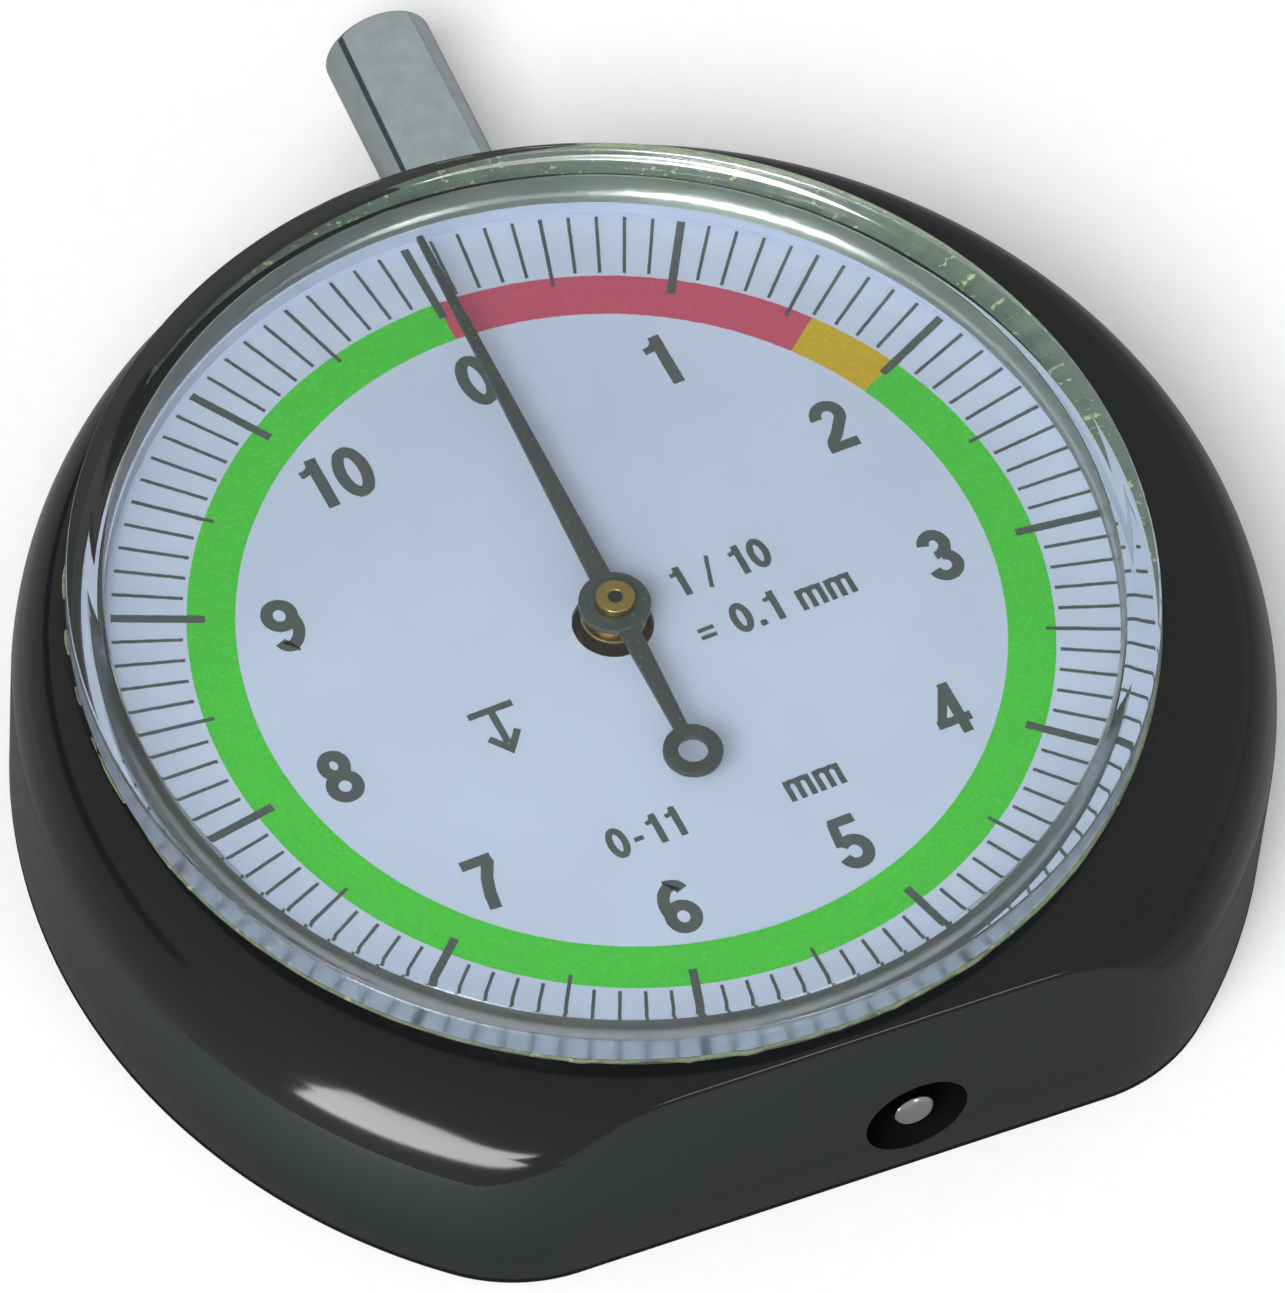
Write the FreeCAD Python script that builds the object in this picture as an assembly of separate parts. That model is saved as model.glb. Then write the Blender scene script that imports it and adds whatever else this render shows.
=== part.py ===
import FreeCAD, Part

# Dial depth gauge for tyre treads. A sprung plunger carries a measuring pin at the flat
# base and a push button at the top. A rack on the plunger turns the pinion of the pointer,
# one turn for eleven millimetres of travel.
#
# The gauge lies on its back with the dial up. The origin is the point of the back face on
# the pointer's axis. +Z is the dial's normal, +Y runs along the plunger towards its button,
# and the flat base faces -Y. All sizes are in millimetres and all angles in degrees.

import math
import os

# ---- driving sizes ----
dial_radius = 24.9
case_height = 12.8
plunger_travel = 10.9
button_radius = 2.8
module = 0.25

# ---- crystal ----
crystal_x = 0.0
crystal_y = 0.2
crystal_wall = 1.7
crystal_sheet = 1.5
crystal_slope = 1.2
crystal_drop = 0.5
crystal_inner_radius = dial_radius - 0.4
crystal_radius = crystal_inner_radius + crystal_wall

# ---- case ----
case_x = 1.3
case_y = -1.4
case_radius = crystal_radius + 4.3
base_y = -crystal_radius - 0.8
side_height = case_height - 5.7
shoulder_inset = 3.2
corner_radius = 9.0
base_edge_radius = 0.4
back_edge_radius = 0.4

# ---- hollows of the case ----
cavity_radius = -base_y - 2.6
back_seat_radius = cavity_radius + 1.2
back_seat_depth = 1.2
crystal_seat_z = case_height - 1.5
dial_seat_z = crystal_seat_z - 1.3
ledge_z = dial_seat_z - 1.4
ledge_radius = dial_radius - 4.1
dial_bore_radius = dial_radius + 0.4
cement_gap = 0.2
cement_depth = 0.5
running_gap = 0.04
free_gap = 0.2
wall_gap = 0.1
cut_past = 1.0

# ---- heights of the crystal ----
crystal_rim_z = case_height + 1.7
crystal_top_z = crystal_rim_z + crystal_drop

# ---- dial ----
dial_x = 0.3
dial_y = -0.15
dial_thickness = 0.5
dial_top_z = dial_seat_z + dial_thickness
dial_hole_radius = 2.0
dial_foot_radius = 0.8
dial_foot_angles = (75, 255)
dial_foot_distance = 0.7 * dial_radius

# ---- plunger ----
plunger_x = 4.7
plunger_z = back_seat_depth + button_radius + 0.2
button_end_y = case_y + case_radius + plunger_travel + 1.4
button_start_y = cavity_radius - 0.4
button_socket = 6.0
button_chamfer = 0.35
pin_radius = 1.05
pin_setback = 0.1
pin_tenon = 3.0
recess_radius = 2.6
recess_depth = 2.6
recess_end_y = base_y + recess_depth
boss_half_width = recess_radius + 0.9
boss_start_y = recess_end_y - 0.6

# ---- bushes of the plunger ----
upper_bush_radius = button_radius + 0.5
upper_bush_start_y = back_seat_radius - 0.3
stem_bore_start_y = upper_bush_start_y - 5.0
lower_bush_radius = 2.1
lower_bush_end_y = base_y + 6.5
rod_radius = 1.5
rod_start_y = lower_bush_end_y + plunger_travel + 0.6
rod_flat = 0.7

# ---- rack, pinion and take-up wheel ----
pinion_teeth = 14
wheel_teeth = 60
addendum = 0.8 * module
dedendum = 1.15 * module
tooth_play = 0.04
pressure_angle = 20.0
tooth_pitch = math.pi * module
pinion_pitch_radius = module * pinion_teeth / 2
wheel_pitch_radius = module * wheel_teeth / 2
wheel_x = -(pinion_pitch_radius + wheel_pitch_radius)
pinion_bottom_z = plunger_z - 1.4
wheel_z = plunger_z + 1.2
wheel_thickness = 0.8
pinion_top_z = wheel_z + wheel_thickness + 0.3
wheel_hub_radius = 1.3
wheel_rim = 1.2
wheel_spokes = 4
wheel_spoke_width = wheel_hub_radius / 1.2
wheel_spoke_angle = 45
rack_height = 2.0
rack_lead = 2
rack_teeth = math.ceil(plunger_travel / tooth_pitch) + rack_lead + 1
rack_start_y = -rack_lead * tooth_pitch
rack_end_y = rack_start_y + rack_teeth * tooth_pitch
rack_screw_inset = 3 * tooth_pitch
rack_screw_head_x = pinion_pitch_radius + dedendum + 0.1
rack_screw_sink_x = pinion_pitch_radius + 0.8
rack_screw_end_x = plunger_x + 0.9

# ---- return spring and its collar ----
spring_wire = 0.6
spring_coil_radius = 2.05
spring_coils = 8
collar_length = 1.6
collar_radius = 2.4
collar_y = rack_start_y - collar_length - 0.4
collar_pin_inset = 0.2

# ---- movement frame ----
movement_plate_z = ledge_z - 1.0
bridge_z = 1.5
bridge_thickness = 0.8
bridge_top_z = bridge_z + bridge_thickness
pillar_radius = 1.2
pillar_far_x = wheel_x - 0.97 * wheel_pitch_radius
pillar_far_y = 0.88 * wheel_pitch_radius
pillar_near_x = -2.6
pillar_near_y = wheel_pitch_radius + 1.9
bridge_margin = pillar_radius + 0.5
bearing_ratio = 2.4

# ---- guide pin and its rail ----
guide_pin_radius = 0.5
guide_pin_y = 16.0
guide_pin_end_x = plunger_x + 4.3
rail_x = plunger_x + 3.1
rail_thickness = 1.4
rail_start_y = guide_pin_y - plunger_travel - 2.7
rail_end_y = guide_pin_y + 3.0
rail_screw_ys = (rail_start_y + 2.0, rail_end_y - 2.0)
rail_bottom_z = plunger_z - 1.6
rail_bore_z = plunger_z + 1.4
rail_screw_tip_z = plunger_z + 1.6

# ---- pointer ----
arbor_radius = 0.5
pointer_z = dial_top_z + 1.5
pointer_thickness = 0.3
pointer_hub_radius = 1.75
pointer_length = crystal_inner_radius - 0.9
pointer_set_angle = 1.2
pointer_tip_width = 0.36
pointer_root_width = 1.1
tail_width = 0.6
tail_ring_y = -9.2
tail_ring_radius = 1.45
tail_hole_radius = 0.7
boss_top_z = pointer_z + 0.8
boss_chamfer = 0.1
collet_radius = 0.95
collet_flare_height = 0.3
collet_neck_height = 0.45
bush_radius = 1.4
bush_flare = 0.2
bush_neck_height = 0.3
bush_top_z = dial_top_z + 0.7

# ---- hairspring ----
hairspring_inner_radius = 1.6
hairspring_outer_radius = 5.6
hairspring_turns = 5
hairspring_strip = 0.16
hairspring_height = 0.6
hairspring_z = wheel_z + wheel_thickness + 0.4
hairspring_steps = 16
stud_radius = 0.5
stud_overlap = 0.1

# ---- fasteners ----
case_screw_radius = 0.8
case_screw_head_radius = 1.5
case_screw_head_height = 0.8
small_screw_radius = 0.5
small_screw_head_radius = 0.9
small_screw_head_height = 0.5
slot_ratio = 6
cover_screw_tip_z = ledge_z - 2.2
cover_bore_end_z = ledge_z - 2.0
plate_screw_tip_z = dial_seat_z - 0.2
plate_screw_angles = (105, 215, 325)
plate_screw_distance = cavity_radius - 2.0
cover_screw_angles = (45, 135, 225, 315)
cover_screw_distance = cavity_radius - 1.8
cover_post_radius = 2.0

UP = FreeCAD.Vector(0, 0, 1)
ALONG_Y = FreeCAD.Vector(0, 1, 0)
ALONG_X = FreeCAD.Vector(1, 0, 0)


def point(x, y, z=0.0):
    """A point of the frame."""
    return FreeCAD.Vector(x, y, z)


def polar(radius, angle, z=0.0):
    """A point at a distance from the pointer's axis and an angle from +X."""
    turn = math.radians(angle)
    return point(radius * math.cos(turn), radius * math.sin(turn), z)


def post(radius, z_low, z_high, x=0.0, y=0.0):
    """An upright cylinder."""
    return Part.makeCylinder(radius, z_high - z_low, point(x, y, z_low), UP)


def tube(outer, inner, z_low, z_high, x=0.0, y=0.0):
    """An upright ring."""
    return post(outer, z_low, z_high, x, y).cut(post(inner, z_low, z_high, x, y))


def bar(radius, y_low, y_high):
    """A cylinder on the plunger's axis."""
    return Part.makeCylinder(radius, y_high - y_low, point(plunger_x, y_low, plunger_z), ALONG_Y)


def block(x_span, y_span, z_span):
    """A box given by its low and high limits."""
    size = [span[1] - span[0] for span in (x_span, y_span, z_span)]
    return Part.makeBox(*size, point(x_span[0], y_span[0], z_span[0]))


def slab(outline, z_low, z_high):
    """A closed outline of points, raised between two heights."""
    corners = [point(x, y, z_low) for x, y in outline]
    face = Part.Face(Part.makePolygon(corners + corners[:1]))
    return face.extrude(point(0, 0, z_high - z_low))


def turned(profile, x, y):
    """A closed profile of (radius, height) points, turned about an upright axis."""
    corners = [point(x + radius, y, z) for radius, z in profile]
    face = Part.Face(Part.makePolygon(corners + corners[:1]))
    return face.revolve(point(x, y), UP, 360)


def join(solids):
    """Several touching solids as one."""
    return solids[0].multiFuse(solids[1:]).removeSplitter()


def save(name, shape):
    """Write one node."""
    shape.exportStep(os.path.join("parts", name + ".step"))


def group(solids):
    """Separate solids that share one node."""
    return Part.makeCompound(solids)


# ---- case pieces ----


def case_outline():
    """The round outline cut by the flat base, with both corners rounded."""
    disc = post(case_radius, 0, case_height, case_x, case_y)
    reach = 2 * case_radius
    keep = block((-reach, reach), (base_y, reach), (0, case_height))
    outline = disc.common(keep)
    corners = [edge for edge in outline.Edges if is_upright_corner(edge)]
    return outline.makeFillet(corner_radius, corners)


def is_upright_corner(edge):
    """True on the two upright edges at the ends of the flat base."""
    ends = [vertex.Point for vertex in edge.Vertexes]
    if len(ends) != 2:
        return False
    upright = abs(ends[0].z - ends[1].z) > case_height / 2
    return upright and all(abs(end.y - base_y) < back_edge_radius for end in ends)


def shoulder_body():
    """A turned body whose edge sweeps from the upright side to the front face."""
    rise = case_height - side_height
    low = point(case_x + case_radius, case_y, side_height)
    high = point(case_x + case_radius - shoulder_inset, case_y, case_height)
    bow = math.sqrt(0.5)
    middle = point(high.x + shoulder_inset * bow, case_y, side_height + rise * bow)
    sides = [
        Part.makeLine(point(case_x, case_y, 0), point(low.x, case_y, 0)),
        Part.makeLine(point(low.x, case_y, 0), low),
        Part.Arc(low, middle, high).toShape(),
        Part.makeLine(high, point(case_x, case_y, case_height)),
        Part.makeLine(point(case_x, case_y, case_height), point(case_x, case_y, 0)),
    ]
    face = Part.Face(Part.Wire(sides))
    return face.revolve(point(case_x, case_y), UP, 360)


def soften_case(solid):
    """Round the back edge and the straight front edge above the flat base."""
    back = [edge for edge in solid.Edges if edge.BoundBox.ZMax < back_edge_radius / 2]
    solid = solid.makeFillet(back_edge_radius, back)
    front = [edge for edge in solid.Edges if is_base_front_edge(edge)]
    return solid.makeFillet(base_edge_radius, front)


def is_base_front_edge(edge):
    """True on the straight edge between the front face and the flat base."""
    box = edge.BoundBox
    flat = abs(box.YMax - base_y) < base_edge_radius / 2
    return flat and box.ZMin > case_height - base_edge_radius / 2


def housing():
    """The case: a thick wall with a flat base, a dial seat and a crystal seat."""
    solid = soften_case(case_outline().common(shoulder_body()))
    hollows = [
        post(back_seat_radius, 0, back_seat_depth),
        post(cavity_radius, back_seat_depth, ledge_z),
        post(ledge_radius, ledge_z, dial_seat_z),
        post(dial_bore_radius, dial_seat_z, crystal_seat_z, dial_x, dial_y),
        post(crystal_radius + cement_gap, crystal_seat_z, case_height, crystal_x, crystal_y),
    ]
    for hollow in hollows:
        solid = solid.cut(hollow)
    added = [lower_boss()] + [cover_post(angle) for angle in cover_screw_angles]
    solid = join([solid] + added)
    for cutter in housing_bores():
        solid = solid.cut(cutter)
    return solid


def lower_boss():
    """The block inside the flat base that holds the measuring pin's bush."""
    width = (plunger_x - boss_half_width, plunger_x + boss_half_width)
    return block(width, (boss_start_y, lower_bush_end_y), (back_seat_depth, ledge_z))


def cover_post(angle):
    """A post at the cavity's wall that takes one screw of the back cover."""
    place = polar(cover_screw_distance, angle)
    return post(cover_post_radius, back_seat_depth, ledge_z, place.x, place.y)


def housing_bores():
    """The bores for both bushes, the recess, and every screw of the case."""
    bores = [
        bar(recess_radius, base_y - cut_past, recess_end_y),
        bar(lower_bush_radius, recess_end_y, lower_bush_end_y),
        bar(button_radius + running_gap, stem_bore_start_y, upper_bush_start_y),
        bar(upper_bush_radius, upper_bush_start_y, case_radius + cut_past),
    ]
    for angle in cover_screw_angles:
        place = polar(cover_screw_distance, angle)
        bores.append(post(case_screw_radius, back_seat_depth, cover_bore_end_z, place.x, place.y))
    for angle in plate_screw_angles:
        place = polar(plate_screw_distance, angle)
        bores.append(post(case_screw_radius, ledge_z, plate_screw_tip_z, place.x, place.y))
    return bores


def back_cover():
    """The round cover, countersunk for its four screws."""
    solid = post(back_seat_radius - running_gap, 0, back_seat_depth)
    for angle in cover_screw_angles:
        place = polar(cover_screw_distance, angle)
        solid = solid.cut(post(case_screw_radius, 0, back_seat_depth, place.x, place.y))
        solid = solid.cut(post(case_screw_head_radius, 0, case_screw_head_height, place.x, place.y))
    return solid


def slotted_screw(place, head_z, tip_z, shank, head, head_height):
    """A screw with a slotted head; the tip lies above or below its head."""
    side = 1 if tip_z > head_z else -1
    neck_z = head_z + side * head_height
    levels = sorted((head_z, neck_z))
    solid = post(head, levels[0], levels[1], place.x, place.y)
    levels = sorted((neck_z, tip_z))
    solid = solid.fuse(post(shank, levels[0], levels[1], place.x, place.y))
    slot_depth = head_height / 2
    levels = sorted((head_z - side, head_z + side * slot_depth))
    half = head / slot_ratio
    slot = block((place.x - head, place.x + head), (place.y - half, place.y + half), levels)
    return solid.cut(slot)


def back_cover_screws():
    """The four screws of the back cover, flush with its face."""
    sizes = (case_screw_radius, case_screw_head_radius, case_screw_head_height)
    places = [polar(cover_screw_distance, angle) for angle in cover_screw_angles]
    return group([slotted_screw(place, 0, cover_screw_tip_z, *sizes) for place in places])


def crystal():
    """The clear cap: a flat window inside a thick moulded rim."""
    under = crystal_top_z - crystal_sheet
    profile = [
        (0, crystal_top_z),
        (crystal_radius - crystal_slope, crystal_top_z),
        (crystal_radius, crystal_rim_z),
        (crystal_radius, crystal_seat_z),
        (crystal_inner_radius, crystal_seat_z),
        (crystal_inner_radius, under),
        (0, under),
    ]
    return turned(profile, crystal_x, crystal_y)


def crystal_cement():
    """The bead of cement in the gap between the crystal and its seat."""
    outer = crystal_radius + cement_gap
    top = case_height - cement_depth
    return tube(outer, crystal_radius, crystal_seat_z, top, crystal_x, crystal_y)


def dial_plate():
    """The dial, with a hole for the pointer's bush and two for its feet."""
    solid = post(dial_radius, dial_seat_z, dial_top_z, dial_x, dial_y)
    return solid.cut(post(dial_hole_radius, dial_seat_z, dial_top_z))


def dial_feet():
    """The two feet under the dial that sit in the movement plate."""
    feet = []
    for angle in dial_foot_angles:
        place = polar(dial_foot_distance, angle)
        feet.append(post(dial_foot_radius, movement_plate_z, dial_seat_z, place.x, place.y))
    return group(feet)


# ---- movement frame ----


def movement_plate():
    """The round plate under the dial that carries the movement."""
    low = movement_plate_z
    high = ledge_z
    solid = post(cavity_radius - wall_gap, low, high)
    cutters = [post(bush_radius, low, high), post(arbor_radius + running_gap, low, high, wheel_x)]
    for angle in cover_screw_angles:
        place = polar(cover_screw_distance, angle)
        cutters.append(post(cover_post_radius + free_gap, low, high, place.x, place.y))
    for angle in plate_screw_angles:
        place = polar(plate_screw_distance, angle)
        cutters.append(post(case_screw_radius, low, high, place.x, place.y))
    for angle in dial_foot_angles:
        place = polar(dial_foot_distance, angle)
        cutters.append(post(dial_foot_radius, low, high, place.x, place.y))
    for place in pillar_places():
        cutters.append(post(small_screw_radius, low, high, place.x, place.y))
    for y in rail_screw_ys:
        cutters.append(post(small_screw_radius, low, high, rail_x + rail_thickness / 2, y))
    boss = lower_boss_clearance(low, high)
    return solid.cut(boss).cut(group(cutters))


def lower_boss_clearance(low, high):
    """The notch of the movement plate around the block inside the flat base."""
    half = boss_half_width + free_gap
    reach = (base_y, lower_bush_end_y + free_gap)
    return block((plunger_x - half, plunger_x + half), reach, (low, high))


def movement_screws():
    """The three screws that hold the movement plate against the case's ledge."""
    sizes = (case_screw_radius, case_screw_head_radius, case_screw_head_height)
    head_z = movement_plate_z - case_screw_head_height
    places = [polar(plate_screw_distance, angle) for angle in plate_screw_angles]
    return group([slotted_screw(place, head_z, plate_screw_tip_z, *sizes) for place in places])


def pillar_places():
    """The places of the four pillars round the take-up wheel."""
    far = [point(pillar_far_x, side * pillar_far_y) for side in (1, -1)]
    return far + [point(pillar_near_x, side * pillar_near_y) for side in (1, -1)]


def bridge_outline():
    """The outline of the rear bridge: a trapezium over its four pillars."""
    margin = bridge_margin
    left = pillar_far_x - margin
    right = pillar_near_x + margin
    nose = pinion_pitch_radius
    return [
        (left, -pillar_far_y - margin),
        (pillar_near_x - margin, -pillar_near_y - margin),
        (right, -pillar_near_y - margin),
        (right, -2 * nose),
        (nose, -nose),
        (nose, nose),
        (right, 2 * nose),
        (right, pillar_near_y + margin),
        (pillar_near_x - margin, pillar_near_y + margin),
        (left, pillar_far_y + margin),
    ]


def rear_bridge():
    """The plate behind the wheels that holds their rear bearings."""
    solid = slab(bridge_outline(), bridge_z, bridge_top_z)
    cutters = [
        post(bearing_radius(), bridge_z, bridge_top_z),
        post(bearing_radius(), bridge_z, bridge_top_z, wheel_x),
    ]
    for place in pillar_places():
        cutters.append(post(small_screw_radius, bridge_z, bridge_top_z, place.x, place.y))
    return solid.cut(group(cutters))


def bearing_radius():
    """The outer radius of each rear bearing."""
    return bearing_ratio * arbor_radius


def rear_bearings():
    """The two bearings pressed in the rear bridge."""
    bore = arbor_radius + running_gap
    rings = [tube(bearing_radius(), bore, bridge_z, bridge_top_z)]
    rings.append(tube(bearing_radius(), bore, bridge_z, bridge_top_z, wheel_x))
    return group(rings)


def bridge_pillars():
    """The four pillars between the rear bridge and the movement plate."""
    pillars = []
    for place in pillar_places():
        spans = (bridge_top_z, movement_plate_z, place.x, place.y)
        pillars.append(tube(pillar_radius, small_screw_radius, *spans))
    return group(pillars)


def bridge_screws():
    """The four screws through the rear bridge and its pillars."""
    sizes = (small_screw_radius, small_screw_head_radius, small_screw_head_height / 2)
    head_z = bridge_z - small_screw_head_height / 2
    return group([slotted_screw(place, head_z, ledge_z, *sizes) for place in pillar_places()])


def pointer_bush():
    """The flared brass bush in the movement plate, seen through the dial's hole."""
    low = movement_plate_z
    bore = arbor_radius + running_gap
    flare = bush_radius + bush_flare
    profile = [
        (bore, low),
        (bush_radius, low),
        (bush_radius, dial_top_z + bush_neck_height),
        (flare, bush_top_z - bush_flare),
        (flare, bush_top_z),
        (bore, bush_top_z),
    ]
    return turned(profile, 0, 0)


# ---- plunger ----


def upper_bush():
    """The bush in the case's top wall, in which the button's stem slides."""
    case_round = post(case_radius, 0, case_height, case_x, case_y)
    solid = bar(upper_bush_radius, upper_bush_start_y, case_radius).common(case_round)
    return solid.cut(bar(button_radius + running_gap, upper_bush_start_y, case_radius))


def lower_bush():
    """The bush behind the recess, in which the measuring pin slides."""
    bore = bar(pin_radius + running_gap, recess_end_y, lower_bush_end_y)
    return bar(lower_bush_radius, recess_end_y, lower_bush_end_y).cut(bore)


def button():
    """The push button and its stem, drilled for the rod."""
    solid = bar(button_radius, button_start_y, button_end_y)
    rim = [edge for edge in solid.Edges if edge.BoundBox.YMin > button_end_y - button_chamfer]
    solid = solid.makeChamfer(button_chamfer, rim)
    return solid.cut(bar(rod_radius, button_start_y, button_start_y + button_socket))


def plunger_rod():
    """The rod between the button and the measuring pin, flatted for the rack."""
    solid = bar(rod_radius, rod_start_y, button_start_y + button_socket)
    solid = solid.cut(rack_blank())
    solid = solid.cut(bar(pin_radius, rod_start_y, rod_start_y + pin_tenon))
    for y in rack_screw_ys():
        solid = solid.cut(cross_bore(small_screw_radius, rack_back_x(), rack_screw_end_x, y))
    bores = [
        cross_bore(guide_pin_radius, plunger_x, guide_pin_end_x, guide_pin_y),
        post(collar_pin_radius(), 0, 2 * plunger_z, plunger_x, collar_y + collar_length / 2),
    ]
    return solid.cut(group(bores))


def cross_bore(radius, x_low, x_high, y):
    """A cylinder across the plunger, along X at the plunger's height."""
    return Part.makeCylinder(radius, x_high - x_low, point(x_low, y, plunger_z), ALONG_X)


def collar_pin_radius():
    """The radius of the pin through the spring collar."""
    return 0.8 * small_screw_radius


def rack_back_x():
    """The rack's back face, let into the rod."""
    return plunger_x - rod_radius + rod_flat


def rack_blank():
    """The strip that the rack is cut from."""
    tips = pinion_pitch_radius - addendum
    heights = (plunger_z - rack_height / 2, plunger_z + rack_height / 2)
    return block((tips, rack_back_x()), (rack_start_y, rack_end_y), heights)


def rack_screw_ys():
    """The places of the rack's two screws along the plunger."""
    return (rack_start_y + rack_screw_inset, rack_end_y - rack_screw_inset)


def rack():
    """The toothed strip; a space faces the pinion when the plunger is at rest."""
    solid = rack_blank()
    for index in range(rack_teeth + 1):
        solid = solid.cut(rack_space(rack_start_y + index * tooth_pitch))
    for y in rack_screw_ys():
        solid = solid.cut(cross_bore(small_screw_radius, pinion_pitch_radius, rack_back_x(), y))
        solid = solid.cut(cross_bore(small_screw_head_radius, 0, rack_screw_sink_x, y))
    return solid


def rack_space(y):
    """The gap between two rack teeth, centred at y."""
    slope = math.tan(math.radians(pressure_angle))
    half = tooth_pitch / 4 + tooth_play / 2
    outer = half + addendum * slope
    inner = half - dedendum * slope
    tip_x = pinion_pitch_radius - addendum
    root_x = pinion_pitch_radius + dedendum
    outline = [(tip_x, y - outer), (root_x, y - inner), (root_x, y + inner), (tip_x, y + outer)]
    return slab(outline, plunger_z - rack_height / 2, plunger_z + rack_height / 2)


def rack_screws():
    """The two screws that hold the rack to the rod."""
    screws = []
    for y in rack_screw_ys():
        head = cross_bore(small_screw_head_radius, rack_screw_head_x, rack_screw_sink_x, y)
        shank = cross_bore(small_screw_radius, rack_screw_sink_x, rack_screw_end_x, y)
        screws.append(head.fuse(shank))
    return group(screws)


def measuring_pin():
    """The pin whose end touches the bottom of the groove."""
    solid = bar(pin_radius, base_y + pin_setback, rod_start_y + pin_tenon)
    low_edge = base_y + 2 * pin_setback
    rim = [edge for edge in solid.Edges if edge.BoundBox.YMax < low_edge]
    return solid.makeFillet(2 * pin_setback, rim)


def spring_collar():
    """The collar on the rod that the return spring pushes."""
    solid = bar(collar_radius, collar_y, collar_y + collar_length)
    solid = solid.cut(bar(rod_radius, collar_y, collar_y + collar_length))
    return solid.cut(post(collar_pin_radius(), 0, 2 * plunger_z, plunger_x, collar_y + collar_length / 2))


def collar_pin():
    """The pin through the collar and the rod."""
    reach = collar_radius - collar_pin_inset
    y = collar_y + collar_length / 2
    return post(collar_pin_radius(), plunger_z - reach, plunger_z + reach, plunger_x, y)


def guide_pin():
    """The pin that keeps the plunger from turning and stops it at rest."""
    return cross_bore(guide_pin_radius, plunger_x, guide_pin_end_x, guide_pin_y)


def guide_rail():
    """The slotted rail that the guide pin runs in."""
    spans = ((rail_x, rail_x + rail_thickness), (rail_start_y, rail_end_y))
    solid = block(*spans, (rail_bottom_z, movement_plate_z))
    gap = guide_pin_radius + running_gap
    low_y = guide_pin_y - plunger_travel - gap - free_gap
    high_y = guide_pin_y + gap
    solid = solid.cut(block(spans[0], (low_y, high_y), (plunger_z - gap, plunger_z + gap)))
    for y in rail_screw_ys:
        x = rail_x + rail_thickness / 2
        solid = solid.cut(post(small_screw_radius, rail_bore_z, movement_plate_z, x, y))
    return solid


def rail_screws():
    """The two screws that hold the guide rail under the movement plate."""
    sizes = (small_screw_radius, small_screw_head_radius, small_screw_head_height)
    head_z = ledge_z + small_screw_head_height
    x = rail_x + rail_thickness / 2
    places = [point(x, y) for y in rail_screw_ys]
    return group([slotted_screw(place, head_z, rail_screw_tip_z, *sizes) for place in places])


def return_spring():
    """The helical spring between the lower bush and the collar."""
    start = lower_bush_end_y + spring_wire / 2
    length = collar_y - spring_wire / 2 - start
    helix = Part.makeHelix(length / spring_coils, length, spring_coil_radius)
    section = Part.Wire(Part.makeCircle(spring_wire / 2, point(spring_coil_radius, 0), ALONG_Y))
    wire = Part.Wire(helix).makePipeShell([section], True, True)
    wire.rotate(point(0, 0), ALONG_X, -90)
    wire.translate(point(plunger_x, start, plunger_z))
    return wire


# ---- pointer ----


def tooth_angle_half(radius, pitch_radius, teeth):
    """Half the angle of an involute tooth at a radius."""
    pressure = math.radians(pressure_angle)
    base = pitch_radius * math.cos(pressure)
    at_pitch = math.pi / (2 * teeth) - tooth_play / (2 * pitch_radius)
    involute_pitch = math.tan(pressure) - pressure
    if radius <= base:
        return at_pitch + involute_pitch
    roll = math.acos(base / radius)
    return at_pitch + involute_pitch - (math.tan(roll) - roll)


def gear_outline(teeth, first_angle, x=0.0):
    """The outline of a spur gear; a tooth is centred at first_angle in degrees."""
    pitch_radius = module * teeth / 2
    root = pitch_radius - dedendum
    tip = pitch_radius + addendum
    radii = (root, (root + pitch_radius) / 2, pitch_radius, (pitch_radius + tip) / 2, tip)
    outline = []
    for index in range(teeth):
        middle = math.radians(first_angle) + 2 * math.pi * index / teeth
        flanks = [(radius, tooth_angle_half(radius, pitch_radius, teeth)) for radius in radii]
        for radius, half in flanks:
            outline.append((x + radius * math.cos(middle - half), radius * math.sin(middle - half)))
        for radius, half in reversed(flanks):
            outline.append((x + radius * math.cos(middle + half), radius * math.sin(middle + half)))
    return outline


def pinion():
    """The pinion on the pointer's arbor, a tooth facing the rack."""
    solid = slab(gear_outline(pinion_teeth, 0), pinion_bottom_z, pinion_top_z)
    return solid.cut(post(arbor_radius, pinion_bottom_z, pinion_top_z))


def pointer_arbor():
    """The arbor that carries the pinion and the pointer."""
    return post(arbor_radius, bridge_z, boss_top_z - boss_chamfer)


def thrust_collar():
    """The collar that keeps the arbor from lifting."""
    low = pinion_top_z
    return tube(2 * arbor_radius, arbor_radius, low, movement_plate_z - running_gap)


def pointer():
    """The thin hand with its hub disc, tapered arm and tail ring."""
    low = pointer_z
    high = pointer_z + pointer_thickness
    tip = pointer_tip_width / 2
    root = pointer_root_width / 2
    arm = slab([(-root, 0), (root, 0), (tip, pointer_length), (-tip, pointer_length)], low, high)
    neck = tail_width / 2
    tail = slab([(-root, 0), (root, 0), (neck, tail_ring_y), (-neck, tail_ring_y)], low, high)
    ring = post(tail_ring_radius, low, high, 0, tail_ring_y)
    hub = post(pointer_hub_radius, low, high)
    solid = join([hub, arm, tail, ring])
    solid = solid.cut(post(tail_hole_radius, low, high, 0, tail_ring_y))
    solid.rotate(point(0, 0), UP, pointer_set_angle)
    return solid.cut(post(collet_radius, low, high))


def pointer_collet():
    """The brass collet under the pointer, with the boss that stands above it."""
    flare = bush_radius - boss_chamfer
    profile = [
        (arbor_radius, bush_top_z + running_gap),
        (flare, bush_top_z + running_gap),
        (flare, bush_top_z + collet_flare_height),
        (collet_radius, bush_top_z + collet_neck_height),
        (collet_radius, boss_top_z - boss_chamfer),
        (collet_radius - boss_chamfer, boss_top_z),
        (arbor_radius, boss_top_z),
    ]
    return turned(profile, 0, 0)


# ---- take-up wheel ----


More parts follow.
